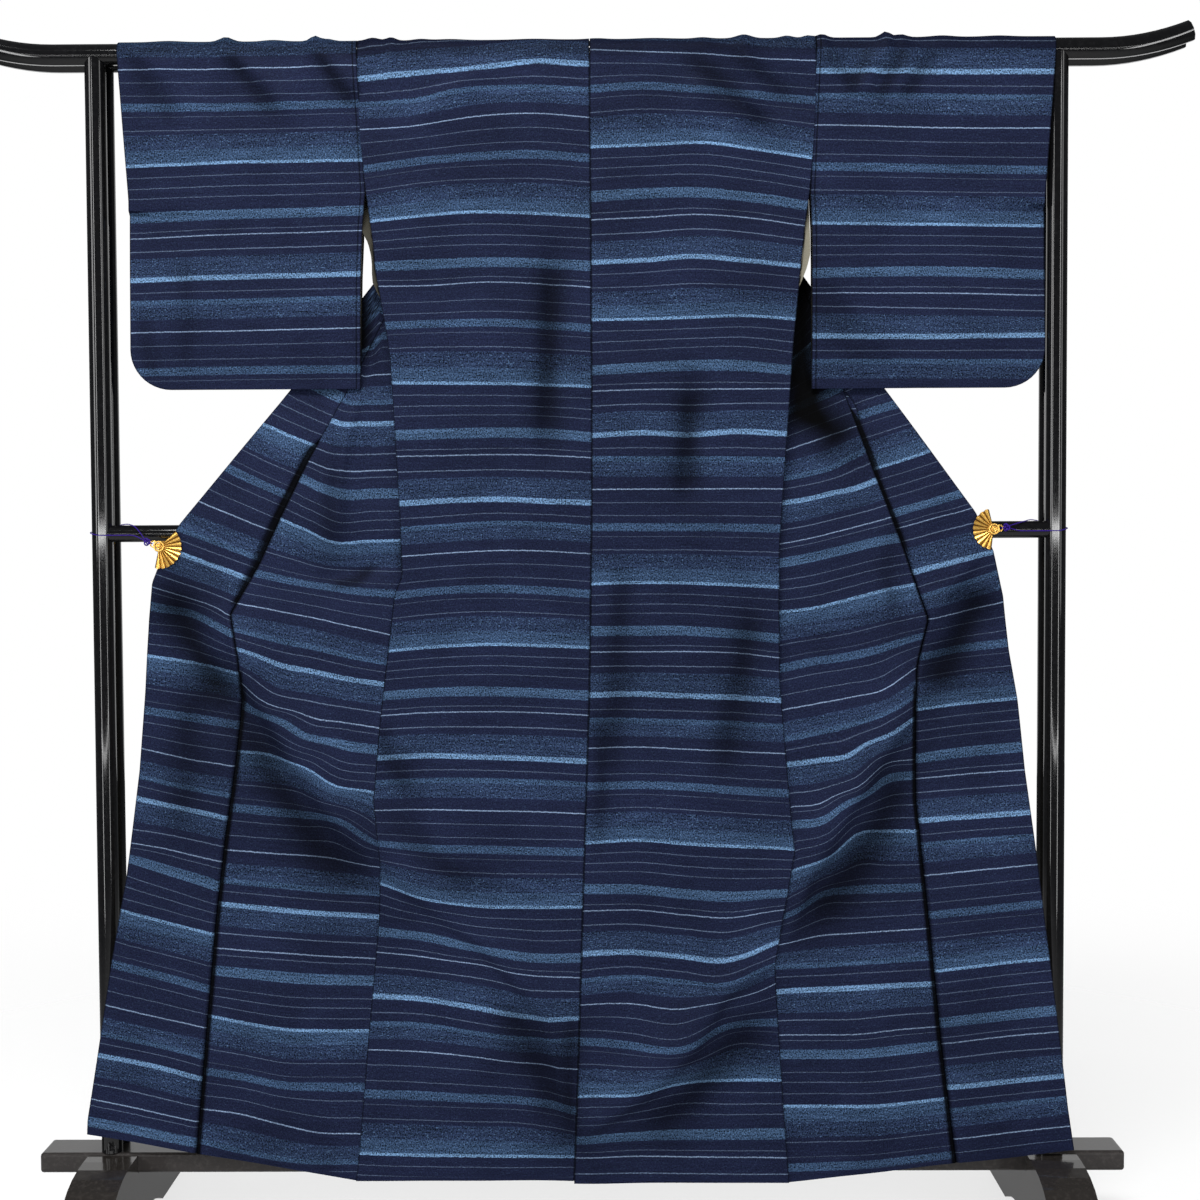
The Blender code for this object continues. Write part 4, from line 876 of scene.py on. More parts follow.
def collar_side(side, reaches):
    """The band's rows along one front edge, from its clip up to the neck."""
    rows = []
    for z in spaced(side["tip_z"] - 25, COLLAR_ENDS[side["name"]], 9)[::-1]:
        line = flap_line(side, float(z))
        order = np.argsort(line[:, 0])
        xs, ys, zs = (line[order, k] for k in range(3))
        slant = abs(line_x(side, "edge", z + 30) - line_x(side, "edge", z - 30)) / 60
        width = COLLAR_WIDTH * math.hypot(1, slant)
        x = line[-1, 0] - side["sign"] * (COLLAR_INSET + width * reaches)
        y = np.interp(x, xs, ys) + CAD_WALL / 2 + COLLAR_GAP + COLLAR_WALL / 2
        rows.append(np.stack([x, y, np.interp(x, xs, zs)], -1))
    return rows


def collar_rows():
    """The band from the left clip round the neck to the right clip, turned to the inside."""
    reaches = np.linspace(0, 1, COLLAR_COLUMNS + 1)
    behind = float(layer_y("flap", BAR_Z)) + CAD_WALL / 2 + COLLAR_GAP + COLLAR_WALL / 2
    given = np.linspace(0, 1, len(COLLAR_NECK["x"]))
    neck_x, neck_z, turn = (
        curve_through(given, COLLAR_NECK[key], np.linspace(0, 1, 49)) for key in ("x", "z", "turn"))
    neck = []
    for x, z, angle in zip(neck_x, neck_z, np.radians(turn)):
        across_x = x + math.cos(angle) * COLLAR_WIDTH * reaches
        across_z = z - math.sin(angle) * COLLAR_WIDTH * reaches
        neck.append(np.stack([across_x, np.full(COLLAR_COLUMNS + 1, behind), across_z], -1))
    points = np.array(collar_side(LEFT, reaches) + neck + collar_side(RIGHT, reaches)[::-1])
    steps = np.linalg.norm(np.diff(points[:, COLLAR_COLUMNS // 2], axis=0), axis=1)
    length = np.concatenate([[0], np.cumsum(steps)])
    across = np.broadcast_to(reaches * COLLAR_WIDTH, points.shape[:2])
    cloth = np.stack([across, np.broadcast_to(length[:, None], points.shape[:2])], -1)
    edges = np.stack([np.minimum(across, COLLAR_WIDTH - across), np.full(points.shape[:2], 300.0)], -1)
    return points, cloth, edges, np.zeros(points.shape[:2])


def shell_faces(grids, back):
    """The faces of grids by their merged point numbers; a grid's fifth part lists faces to skip."""
    faces, base = [], 0
    for grid in grids:
        rows, columns = grid[0].shape[:2]
        skip = grid[4] if len(grid) > 4 else ()
        index = back[base : base + rows * columns].reshape(rows, columns)
        base += rows * columns
        quads = np.stack([index[:-1, :-1], index[:-1, 1:], index[1:, 1:], index[1:, :-1]], -1)
        for i in range(rows - 1):
            for j in range(columns - 1):
                corners = list(dict.fromkeys(int(v) for v in quads[i, j]))
                if (i, j) not in skip and len(corners) > 2:
                    faces.append(corners)
    return faces


def cloth_object(name, grids, outward, wall, materials):
    """A shell from grids of points that share their edges; outward is a point and its way out."""
    points, cloth, edges = (
        np.concatenate([grid[part].reshape(-1, size) for grid in grids])
        for part, size in enumerate((3, 2, 2)))
    shade = np.concatenate([grid[3].reshape(-1) for grid in grids])
    rounded = np.round(points / MERGE_WITHIN).astype(np.int64)
    _, first, back = np.unique(rounded, axis=0, return_index=True, return_inverse=True)
    mesh = bpy.data.meshes.new(name)
    mesh.from_pydata((points[first] * MM).tolist(), [], shell_faces(grids, back.reshape(-1)))
    mesh.validate()
    for layer, values in (("cloth", cloth[first] * MM), ("edges", edges[first] * MM)):
        uv = mesh.uv_layers.new(name=layer)
        loops = np.zeros(len(mesh.loops), np.int32)
        mesh.loops.foreach_get("vertex_index", loops)
        uv.data.foreach_set("uv", values[loops].astype(np.float32).ravel())
    # The painted shade, which darkens the colour of the cloth and, in the armholes, of the lining
    painted_shade = mesh.attributes.new("shade", "FLOAT", "POINT")
    painted_shade.data.foreach_set("value", np.clip(shade[first], 0, 0.985).astype(np.float32))
    bm = bmesh.new()
    bm.from_mesh(mesh)
    bmesh.ops.delete(bm, geom=[vert for vert in bm.verts if not vert.link_faces], context="VERTS")
    bmesh.ops.recalc_face_normals(bm, faces=bm.faces)
    place, way = Vector(outward[0]) * MM, Vector(outward[1])
    nearest = min(bm.faces, key=lambda face: (face.calc_center_median() - place).length_squared)
    if nearest.normal.dot(way) < 0:
        bmesh.ops.reverse_faces(bm, faces=bm.faces)
    obj = object_from(bm, mesh, name, materials)
    solidify = obj.modifiers.new("wall", "SOLIDIFY")
    solidify.thickness = wall
    solidify.offset = 0.0
    solidify.use_rim = True
    solidify.material_offset = 1
    solidify.material_offset_rim = 0
    made_plain(obj)
    smoothed(obj.data, 50)
    return obj


def object_from(bm, mesh, name, materials):
    """An object of the mesh with what was made in bm, in the scene."""
    bm.to_mesh(mesh)
    bm.free()
    for material in materials:
        mesh.materials.append(material)
    obj = bpy.data.objects.new(name, mesh)
    bpy.context.scene.collection.objects.link(obj)
    return obj


def smoothed(mesh, sharp_from):
    mesh.shade_smooth()
    mesh.set_sharp_from_angle(angle=math.radians(sharp_from))


def piece_from(bm, name, materials):
    bmesh.ops.recalc_face_normals(bm, faces=bm.faces)
    obj = object_from(bm, bpy.data.meshes.new(name), name, materials)
    smoothed(obj.data, 45)
    return obj


def made_plain(obj):
    """Replaces the object's mesh with what its modifiers make, and removes them."""
    graph = bpy.context.evaluated_depsgraph_get()
    evaluated = obj.evaluated_get(graph)
    mesh = bpy.data.meshes.new_from_object(evaluated, preserve_all_data_layers=True, depsgraph=graph)
    old = obj.data
    obj.modifiers.clear()
    obj.data = mesh
    bpy.data.meshes.remove(old)
    mesh.name = obj.name
    return obj


def connect(tree, node, inputs):
    """Sets each named or numbered input of a node to a value, or links it to a socket."""
    for key, value in inputs.items():
        if isinstance(value, bpy.types.NodeSocket):
            tree.links.new(value, node.inputs[key])
        else:
            node.inputs[key].default_value = value


def add_node(tree, kind, inputs=None, **settings):
    """A node with its settings and inputs."""
    node = tree.nodes.new(kind)
    for key, value in settings.items():
        setattr(node, key, value)
    connect(tree, node, inputs or {})
    return node


def maths(tree, operation, *values, clamp=False):
    inputs = dict(enumerate(values))
    return add_node(tree, "ShaderNodeMath", inputs, operation=operation, use_clamp=clamp).outputs[0]


def product(tree, *values):
    return maths(tree, "MULTIPLY", *values)


def plus(tree, base, value, factor):
    """The base with a value times a factor added."""
    return maths(tree, "ADD", base, product(tree, value, factor))


def mapped(tree, value, low, high, to_low, to_high, kind="LINEAR"):
    inputs = {0: value, 1: low, 2: high, 3: to_low, 4: to_high}
    return add_node(tree, "ShaderNodeMapRange", inputs, interpolation_type=kind).outputs[0]


def step_up(tree, value, low, high):
    """0 below low and 1 above high, smooth between them."""
    return mapped(tree, value, low, high, 0.0, 1.0, "SMOOTHSTEP")


def noise(tree, where, scale, detail, roughness=0.5):
    inputs = {"Vector": where, "Scale": scale, "Detail": detail, "Roughness": roughness}
    return add_node(tree, "ShaderNodeTexNoise", inputs).outputs[0]


def object_place(tree):
    return add_node(tree, "ShaderNodeTexCoord").outputs["Object"]


def parts_of(tree, vector):
    return add_node(tree, "ShaderNodeSeparateXYZ", {0: vector}).outputs


def vector_of(tree, x, y, z):
    return add_node(tree, "ShaderNodeCombineXYZ", {0: x, 1: y, 2: z}).outputs[0]


def from_layer(tree, layer):
    """The first two parts of a mesh layer, in metres."""
    return parts_of(tree, add_node(tree, "ShaderNodeUVMap", uv_map=layer).outputs[0])[:2]


def attribute(tree, name):
    return add_node(tree, "ShaderNodeAttribute", attribute_name=name).outputs["Fac"]


def bumped(tree, height, strength, distance, **more):
    inputs = {"Height": height, "Strength": strength, "Distance": distance, **more}
    return add_node(tree, "ShaderNodeBump", inputs).outputs[0]


def blend_colour(tree, factor, first, second, mode="MIX"):
    inputs = {0: factor, 6: first, 7: second}
    return add_node(tree, "ShaderNodeMix", inputs, data_type="RGBA", blend_type=mode).outputs[2]


def darkened(tree, colour, shade):
    grey = add_node(tree, "ShaderNodeCombineColor", {0: shade, 1: shade, 2: shade}).outputs[0]
    return blend_colour(tree, 1.0, colour, grey, "MULTIPLY")


def times(colour, *factors):
    """A colour with each part multiplied, by one factor or by one each, and its fourth part 1."""
    return (*(c * f for c, f in zip(colour, factors if len(factors) > 1 else factors * 3)), 1)


def new_material(name):
    material = bpy.data.materials.new(name)
    material.use_nodes = True
    tree = material.node_tree
    return material, tree, tree.nodes["Principled BSDF"]


def tone_colour(cloth, tone):
    """The colour of the mixed yarns at a tone from 0, the ground, to 1, the palest."""
    tones = (0.0, 0.33, 0.56, 0.84, 1.0)
    colours = (cloth.ground, cloth.medium, cloth.band, cloth.bright, cloth.pale)
    return tuple(float(np.interp(tone, tones, [colour[k] for colour in colours])) for k in range(3))


def chart_colour(cloth, place):
    """The colour of the stripes at a place of the repeat, and how much its yarns are mixed."""
    for start, end, first, second, kind in CHART:
        if start <= place <= end:
            tone = first + (second - first) * (place - start) / (end - start)
            if kind == "band":
                return (*tone_colour(cloth, tone), 1.0)
            return (*(g + (p - g) * tone for g, p in zip(cloth.ground, cloth.pale)), 0.15)
    return (*cloth.ground, 0.0)


def fill_ramp(cloth, ramp, low, high):
    """The stripes between two places of the repeat, as the stops of one colour ramp."""
    places = {low + 0.01, high - 0.01}
    for start, end, *_ in CHART:
        edges = (start - STRIPE_SOFT, start + STRIPE_SOFT, end - STRIPE_SOFT, end + STRIPE_SOFT)
        places.update(p for p in edges if low < p < high)
    places = sorted(places)
    elements = ramp.color_ramp.elements
    ramp.color_ramp.interpolation = "LINEAR"
    for _ in places[2:]:
        elements.new(0.5)
    for element, place in zip(elements, places):
        element.position = (place - low) / (high - low)
        element.color = chart_colour(cloth, place)


def stripe_group():
    """The colour of the weft stripes at a length along the cloth, and how mixed the yarns are there."""
    name = "weft_stripes"
    if name in bpy.data.node_groups:
        return bpy.data.node_groups[name]
    cloth = bpy.context.scene.kimono_cloth
    tree = bpy.data.node_groups.new(name, "ShaderNodeTree")
    tree.interface.new_socket(name="Length", in_out="INPUT", socket_type="NodeSocketFloat")
    tree.interface.new_socket(name="Colour", in_out="OUTPUT", socket_type="NodeSocketColor")
    tree.interface.new_socket(name="Mixed", in_out="OUTPUT", socket_type="NodeSocketFloat")
    start, end = tree.nodes.new("NodeGroupInput"), tree.nodes.new("NodeGroupOutput")
    turns = maths(tree, "DIVIDE", start.outputs[0], cloth.repeat)
    place = product(tree, maths(tree, "FRACT", turns), REPEAT)
    colour = mixed = None
    for low, high in zip(CHART_CUTS, CHART_CUTS[1:]):
        local = maths(tree, "DIVIDE", maths(tree, "SUBTRACT", place, low), high - low, clamp=True)
        ramp = add_node(tree, "ShaderNodeValToRGB", {0: local})
        fill_ramp(cloth, ramp, low, high)
        if colour is None:
            colour, mixed = ramp.outputs[0], ramp.outputs[1]
            continue
        beyond = maths(tree, "GREATER_THAN", place, low)
        colour = blend_colour(tree, beyond, colour, ramp.outputs[0])
        step = product(tree, beyond, maths(tree, "SUBTRACT", ramp.outputs[1], mixed))
        mixed = maths(tree, "ADD", mixed, step)
    connect(tree, end, {0: colour, 1: mixed})
    return tree


def tsumugi(name, jumps=(), second_line=0.0):
    """Indigo tsumugi: slubbed weft stripes, seam lines, a plain hem, a soft sheen and painted shade in its
    creases.
    """
    cloth = bpy.context.scene.kimono_cloth
    material, tree, shader = new_material(name)
    across, length = from_layer(tree, "cloth")
    from_side, from_hem = from_layer(tree, "edges")

    def streaks(along, over, detail=1.0, seed=0.0):
        vector = vector_of(tree, product(tree, across, along), product(tree, length, over), seed)
        return noise(tree, vector, 1.0, detail, 0.6)

    def centred(value):
        return maths(tree, "SUBTRACT", value, 0.5)

    place = length
    for limit, shift, above in jumps:
        test = maths(tree, "GREATER_THAN" if above else "LESS_THAN", length, limit * MM)
        place = plus(tree, place, test, shift * MM)
    place = plus(tree, place, centred(streaks(9.0, 30.0)), 0.0012)
    place = plus(tree, place, centred(streaks(170.0, 60.0, 0.0, 5.1)), 0.0011)
    colour, mixed = add_node(tree, "ShaderNodeGroup", node_tree=stripe_group()).outputs
    tree.links.new(place, colour.node.inputs[0])

    picks = streaks(560.0, 480.0)
    yarns = streaks(18.0, 420.0, 1.0, 3.7)
    slubs = streaks(260.0, 640.0, 0.0, 8.3)
    grain = plus(tree, product(tree, centred(picks), 6.0), centred(yarns), 1.6)
    grain = product(tree, grain, plus(tree, 0.36, mixed, 0.48))
    shade = maths(tree, "MAXIMUM", maths(tree, "ADD", 0.97, grain), 0.06)
    fleck = product(tree, step_up(tree, slubs, 0.64, 0.74), plus(tree, 0.06, mixed, 0.22))
    colour = blend_colour(tree, fleck, colour, (*cloth.bright, 1))
    colour = blend_colour(tree, step_up(tree, from_hem, 0.004, 0.010), (*cloth.ground, 1), colour)
    mottle = noise(tree, object_place(tree), 9.0, 3.0)
    shade = product(tree, shade, mapped(tree, mottle, 0.3, 0.7, 0.80, 1.16))
    edge = step_up(tree, from_side, 0.0003, 0.0020)
    shade = product(tree, shade, plus(tree, 0.30, edge, 0.70))
    if second_line:
        near = maths(tree, "ABSOLUTE", maths(tree, "SUBTRACT", across, second_line * MM))
        shade = product(tree, shade, plus(tree, 0.35, step_up(tree, near, 0.0005, 0.0016), 0.65))
    # Painted shade from the mesh's shade attribute: in the creases, beside the overlap seams and over the bar
    lit = maths(tree, "SUBTRACT", 1.0, attribute(tree, "shade"), clamp=True)
    height = plus(tree, product(tree, picks, 0.8), slubs, 0.35)
    connect(tree, shader, {
        "Base Color": darkened(tree, colour, product(tree, shade, lit)),
        "Roughness": plus(tree, cloth.roughness - 0.06, picks, 0.14),
        "Normal": bumped(tree, plus(tree, height, edge, 1.6), 0.5, 0.00035),
        "Sheen Weight": 0.01,
        "Sheen Roughness": 0.45,
        "Sheen Tint": (0.55, 0.65, 0.85, 1.0),
        "Specular IOR Level": 0.03,
    })
    return material


def lining_silk():
    """Plain beige-grey silk, dark at its seams, with painted shade deep in the armholes."""
    cloth = bpy.context.scene.kimono_cloth
    if "lining_silk" in bpy.data.materials:
        return bpy.data.materials["lining_silk"]
    material, tree, shader = new_material("lining_silk")
    where = object_place(tree)
    stretched = add_node(tree, "ShaderNodeMapping", {"Vector": where, "Scale": (40.0, 40.0, 900.0)})
    weave = noise(tree, stretched.outputs[0], 1.0, 2.0)
    soft = noise(tree, where, 14.0, 3.0)
    amount = maths(tree, "ADD", product(tree, weave, 0.5), product(tree, soft, 0.5), clamp=True)
    x, _, z = parts_of(tree, where)
    # Painted shade deep in the armholes: the shade attribute counts only high up at the sides
    aside = step_up(tree, maths(tree, "ABSOLUTE", x), 0.262, 0.272)
    armhole = product(tree, step_up(tree, z, 1.330, 1.360), aside)
    painted_shade = product(tree, armhole, attribute(tree, "shade"))
    from_side = step_up(tree, from_layer(tree, "edges")[0], 0.0010, 0.0030)
    shade = product(tree, from_side, maths(tree, "SUBTRACT", 1.0, painted_shade, clamp=True))
    colour = blend_colour(tree, amount, times(cloth.lining, 0.72), (*cloth.lining, 1))
    connect(tree, shader, {
        "Base Color": darkened(tree, colour, plus(tree, 0.02, shade, 0.98)),
        "Normal": bumped(tree, weave, 0.25, 0.0002),
        "Roughness": 0.7,
        "Sheen Weight": 0.02,
        "Specular IOR Level": 0.06,
    })
    return material


def tube_normal(tree, node):
    """The smooth way out of a round tube, worked out from the tube's own centre line."""
    x, y, z = parts_of(tree, object_place(tree))
    aside = maths(tree, "SUBTRACT", y, (FRAME_Y if node.startswith("rear") else -FRAME_Y) * MM)
    if "upright" in node:
        middle = (UPRIGHT_X if node.endswith("right") else -UPRIGHT_X) * MM
        out = vector_of(tree, maths(tree, "SUBTRACT", x, middle), aside, 0.0)
    elif node == "crossbar":
        out = vector_of(tree, 0.0, aside, maths(tree, "SUBTRACT", z, CROSSBAR_Z * MM))
    else:
        past = maths(tree, "SUBTRACT", maths(tree, "ABSOLUTE", x), BAR_STRAIGHT_X * MM)
        share = maths(tree, "MAXIMUM", maths(tree, "DIVIDE", past, BAR_BEND * MM), 0.0)
        centre = plus(tree, BAR_Z * MM, product(tree, share, share), BAR_END_RISE * MM)
        up = maths(tree, "SUBTRACT", z, centre)
        slope = product(tree, maths(tree, "SIGN", x), product(tree, share, -2 * BAR_END_RISE / BAR_BEND))
        out = vector_of(tree, product(tree, up, slope), aside, up)
    smooth = add_node(tree, "ShaderNodeVectorMath", {0: out}, operation="NORMALIZE").outputs[0]
    flat = add_node(tree, "ShaderNodeNewGeometry").outputs["True Normal"]
    like = add_node(tree, "ShaderNodeVectorMath", {0: smooth, 1: flat}, operation="DOT_PRODUCT")
    side = maths(tree, "GREATER_THAN", like.outputs["Value"], 0.6)
    return add_node(tree, "ShaderNodeMix", {0: side, 4: flat, 5: smooth}, data_type="VECTOR").outputs[1]


def lacquer(name, colour, roughness, coat, grain, tube=None):
    """Black lacquer: a deep gloss with the slight waviness of hand rubbing and fine wear."""
    material, tree, shader = new_material(name)
    where = object_place(tree)
    dust = noise(tree, where, 160.0, 4.0, 0.7)
    wave = noise(tree, where, 11.0, 2.0)
    lighter = tuple(min(1.0, c * 1.9 + 0.002) for c in colour)
    smooth = {"Normal": tube_normal(tree, tube)} if tube else {}
    connect(tree, shader, {
        "Base Color": blend_colour(tree, step_up(tree, dust, 0.45, 0.8), (*colour, 1), (*lighter, 1)),
        "Roughness": mapped(tree, dust, 0.35, 0.75, roughness * 0.95, roughness * 1.08),
        "Normal": bumped(tree, plus(tree, product(tree, wave, 1.0), dust, grain), 0.03, 0.0006, **smooth),
        "Coat Weight": coat,
        "Coat Roughness": 0.04,
        "Specular IOR Level": 0.48 if tube else 0.16,
    })
    return material


def gold_plate():
    """Gold plate, deeper in patches, with painted shade in the fan's valleys."""
    trim = bpy.context.scene.kimono_trim
    if "gold_plate" in bpy.data.materials:
        return bpy.data.materials["gold_plate"]
    material, tree, shader = new_material("gold_plate")
    spots = noise(tree, object_place(tree), 320.0, 4.0)
    deeper = times(trim.gold, 0.84, 0.78, 0.66)
    colour = blend_colour(tree, step_up(tree, spots, 0.36, 0.70), deeper, (*trim.gold, 1))
    # Painted shade: the gold darkens to brown towards the valleys between the ribs
    valley = step_up(tree, attribute(tree, "valley"), 0.42, 0.95)
    connect(tree, shader, {
        "Base Color": blend_colour(tree, valley, colour, times(trim.gold, 0.16, 0.10, 0.05)),
        "Roughness": mapped(tree, spots, 0.3, 0.7, 0.36, 0.28),
        "Normal": bumped(tree, spots, 0.05, 0.0002),
        "Metallic": 0.88,
    })
    return material


def purple_silk():
    """Twisted purple silk with fine fibres."""
    trim = bpy.context.scene.kimono_trim
    if "purple_silk" in bpy.data.materials:
        return bpy.data.materials["purple_silk"]
    material, tree, shader = new_material("purple_silk")
    fibres = noise(tree, object_place(tree), 1400.0, 3.0)
    connect(tree, shader, {
        "Base Color": blend_colour(tree, fibres, times(trim.purple, 0.45), (*trim.purple, 1)),
        "Normal": bumped(tree, fibres, 0.3, 0.0001),
        "Roughness": 0.6,
        "Specular IOR Level": 0.2,
        "Sheen Weight": 0.05,
    })
    return material


def travelled(line):
    """How far along a line each of its points is."""
    return np.concatenate([[0], np.cumsum(np.linalg.norm(np.diff(line, axis=0), axis=1))])


def along_points(line, count):
    """A smooth line through points, as evenly spaced points."""
    line = np.asarray(line, float)
    steps = travelled(line)
    fine = np.linspace(0, steps[-1], count * 4)
    smooth = np.stack([curve_through(steps, line[:, k], fine) for k in range(3)], -1)
    reached = travelled(smooth)
    even = np.linspace(0, reached[-1], count)
    return np.stack([np.interp(even, reached, smooth[:, k]) for k in range(3)], -1)


def frames_along(line):
    """Two directions across a line at each of its points, carried along without twisting."""
    tangents = np.gradient(line, axis=0)
    tangents /= np.linalg.norm(tangents, axis=1)[:, None]
    side = np.cross(tangents[0], (0.3, 0.9, 0.2))
    side /= np.linalg.norm(side)
    sides, others = [], []
    for tangent in tangents:
        side = side - tangent * side.dot(tangent)
        side /= np.linalg.norm(side)
        sides.append(side)
        others.append(np.cross(tangent, side))
    return np.array(sides), np.array(others)


def vert_at(bm, place):
    """A vertex at a place in millimetres."""
    return bm.verts.new(Vector(place) * MM)


def join_rings(bm, rings):
    """Faces between closed rings of vertices; a ring of one vertex is a point."""
    for first, second in zip(rings, rings[1:]):
        around = max(len(first), len(second))
        for k in range(around):
            places = ((first, k), (first, k + 1), (second, k + 1), (second, k))
            bm.faces.new(list(dict.fromkeys(ring[i % len(ring)] for ring, i in places)))


def strand(bm, line, radius, around=8, closed=True):
    """A round strand along a line, added to a mesh in the making."""
    rings = []
    for point, side, other in zip(line, *frames_along(line)):
        ring = []
        for k in range(around):
            angle = 2 * math.pi * k / around
            ring.append(vert_at(bm, point + radius * (math.cos(angle) * side + math.sin(angle) * other)))
        rings.append(ring)
    join_rings(bm, rings)
    if closed:
        bm.faces.new(rings[0][::-1])
        bm.faces.new(rings[-1])


def fan_group():
    """Turns copies of one rib round the fan's hub."""
    name = "fan_ribs"
    if name in bpy.data.node_groups:
        return bpy.data.node_groups[name]
    tree = bpy.data.node_groups.new(name, "GeometryNodeTree")
    sockets = {"Rib": "Geometry", "Ribs": "Int", "Start": "Float", "Step": "Float", "Finish": "Material"}
    for label, kind in sockets.items():
        tree.interface.new_socket(name=label, in_out="INPUT", socket_type=f"NodeSocket{kind}")
    tree.interface.new_socket(name="Fan", in_out="OUTPUT", socket_type="NodeSocketGeometry")
    start, end = tree.nodes.new("NodeGroupInput"), tree.nodes.new("NodeGroupOutput")
    given = start.outputs
    line = add_node(tree, "GeometryNodeMeshLine", {"Count": given["Ribs"], "Offset": (0.0, 0.0, 0.0)})
    number = tree.nodes.new("GeometryNodeInputIndex").outputs[0]
    turn = maths(tree, "ADD", product(tree, number, given["Step"]), given["Start"])
    rotation = add_node(tree, "ShaderNodeCombineXYZ", {1: product(tree, turn, -1.0)})
    copies = add_node(tree, "GeometryNodeInstanceOnPoints", {
        "Points": line.outputs[0], "Instance": given["Rib"], "Rotation": rotation.outputs[0]})
    real = add_node(tree, "GeometryNodeRealizeInstances", {0: copies.outputs[0]})
    inputs = {"Geometry": real.outputs[0], "Material": given["Finish"]}
    coated = add_node(tree, "GeometryNodeSetMaterial", inputs)
    tree.links.new(coated.outputs[0], end.inputs[0])
    return tree


def group_input(modifier, values):
    for item in modifier.node_group.interface.items_tree:
        if item.item_type == "SOCKET" and item.in_out == "INPUT" and item.name in values:
            modifier[item.identifier] = values[item.name]


def clip_levels(clip):
    """The fan's middle plane in front of the overlap, and the jaw's behind the collar."""
    inside = np.array([clip["x"] - math.copysign(20, clip["x"])])
    height = np.array([float(clip["z"])])
    cloth = float((layer_y("flap", height) - relief(inside, height))[0])
    front = cloth - 0.75 - 0.3 - 0.45 - 0.9
    rear = cloth + 0.75 + COLLAR_GAP + COLLAR_WALL + 0.3 + JAW_SIZE[1] / 2 + 0.5
    return front, rear


def turned_profile(bm, clip, profile, around=40):
    """A part turned about the clip's own axis; the profile is (radius, y) from front to back."""
    rings = []
    for radius, y in profile:
        if radius < 1e-6:
            rings.append([vert_at(bm, (clip["x"], y, clip["z"]))])
            continue
        angles = (2 * math.pi * k / around for k in range(around))
        rings.append([
            vert_at(bm, (clip["x"] + radius * math.cos(a), y, clip["z"] + radius * math.sin(a)))
            for a in angles])
    join_rings(bm, rings)


def plate_faces(bm, front, rear, rims):
    """The faces of a plate between two grids of vertices, with its rims in the order given."""
    rows, columns = len(front) - 1, len(front[0]) - 1
    for i in range(rows):
        for j in range(columns):
            bm.faces.new((front[i][j], front[i][j + 1], front[i + 1][j + 1], front[i + 1][j]))
            bm.faces.new((rear[i][j], rear[i + 1][j], rear[i + 1][j + 1], rear[i][j + 1]))
    for i in rims:
        for j in range(columns):
            bm.faces.new((front[i][j], front[i][j + 1], rear[i][j + 1], rear[i][j]))
    for j in (0, -1):
        for i in range(rows):
            bm.faces.new((front[i][j], front[i + 1][j], rear[i + 1][j], rear[i][j]))


def rib_mesh(radius, step):
    """One pleat of the fan, which lies along +X from the hub: a rounded ridge between two valleys."""
    bm = bmesh.new()
    half = step / 2
    top, bottom = [], []
    for share in np.linspace(0, 1, 9):
        reach = FAN_INNER_RADIUS - 3 + (radius - FAN_INNER_RADIUS + 3) * share
        depth = FAN_DEPTH * (0.35 + 0.65 * share)
        row_top, row_low = [], []
        for u in np.linspace(-1, 1, 11):
            lift = depth * (1 - abs(u) ** 1.3)
            r = reach + ((1.3 * (1 - abs(u) ** 2.0)) if share == 1 else 0.0)
            x, z = r * math.cos(half * u), r * math.sin(half * u)
            row_top.append(vert_at(bm, (x, -lift - FAN_WALL / 2, z)))
            row_low.append(vert_at(bm, (x, -lift + FAN_WALL / 2, z)))
        top.append(row_top)
        bottom.append(row_low)
    plate_faces(bm, top, bottom, (-1, 0))
    bmesh.ops.recalc_face_normals(bm, faces=bm.faces)
    # How far each point lies from the rib's ridge towards a valley, which the gold darkens as painted shade
    valley = bm.verts.layers.float.new("valley")
    for vert in bm.verts:
        vert[valley] = abs(math.atan2(vert.co.z, vert.co.x)) / half
    return bm


def add_jaw(bm, clip, rear):
    """The clip's jaw behind the collar: a plate that narrows inwards, with a ridge at its tip."""
    sign = math.copysign(1, clip["x"])
    width, depth, height = JAW_SIZE
    jaw_x = clip["x"] - sign * (width / 2 - 2)
    plates = []
    for y in (rear - depth / 2, rear + depth / 2):
        plate = []
        for i in range(9):
            x = jaw_x + sign * width * (0.5 - i / 8)
            taper = 1.0 - 0.30 * (i / 8) ** 3
            ridge = 0.15 * (0.35 * math.cos(i * math.pi)) if i > 5 and y < rear else 0.0
            heights = [clip["z"] + height * taper * s for s in (-0.5, -0.4, 0.4, 0.5)]
            plate.append([vert_at(bm, (x, y + ridge, z)) for z in heights])
        plates.append(plate)
    plate_faces(bm, *plates, (0, 8))


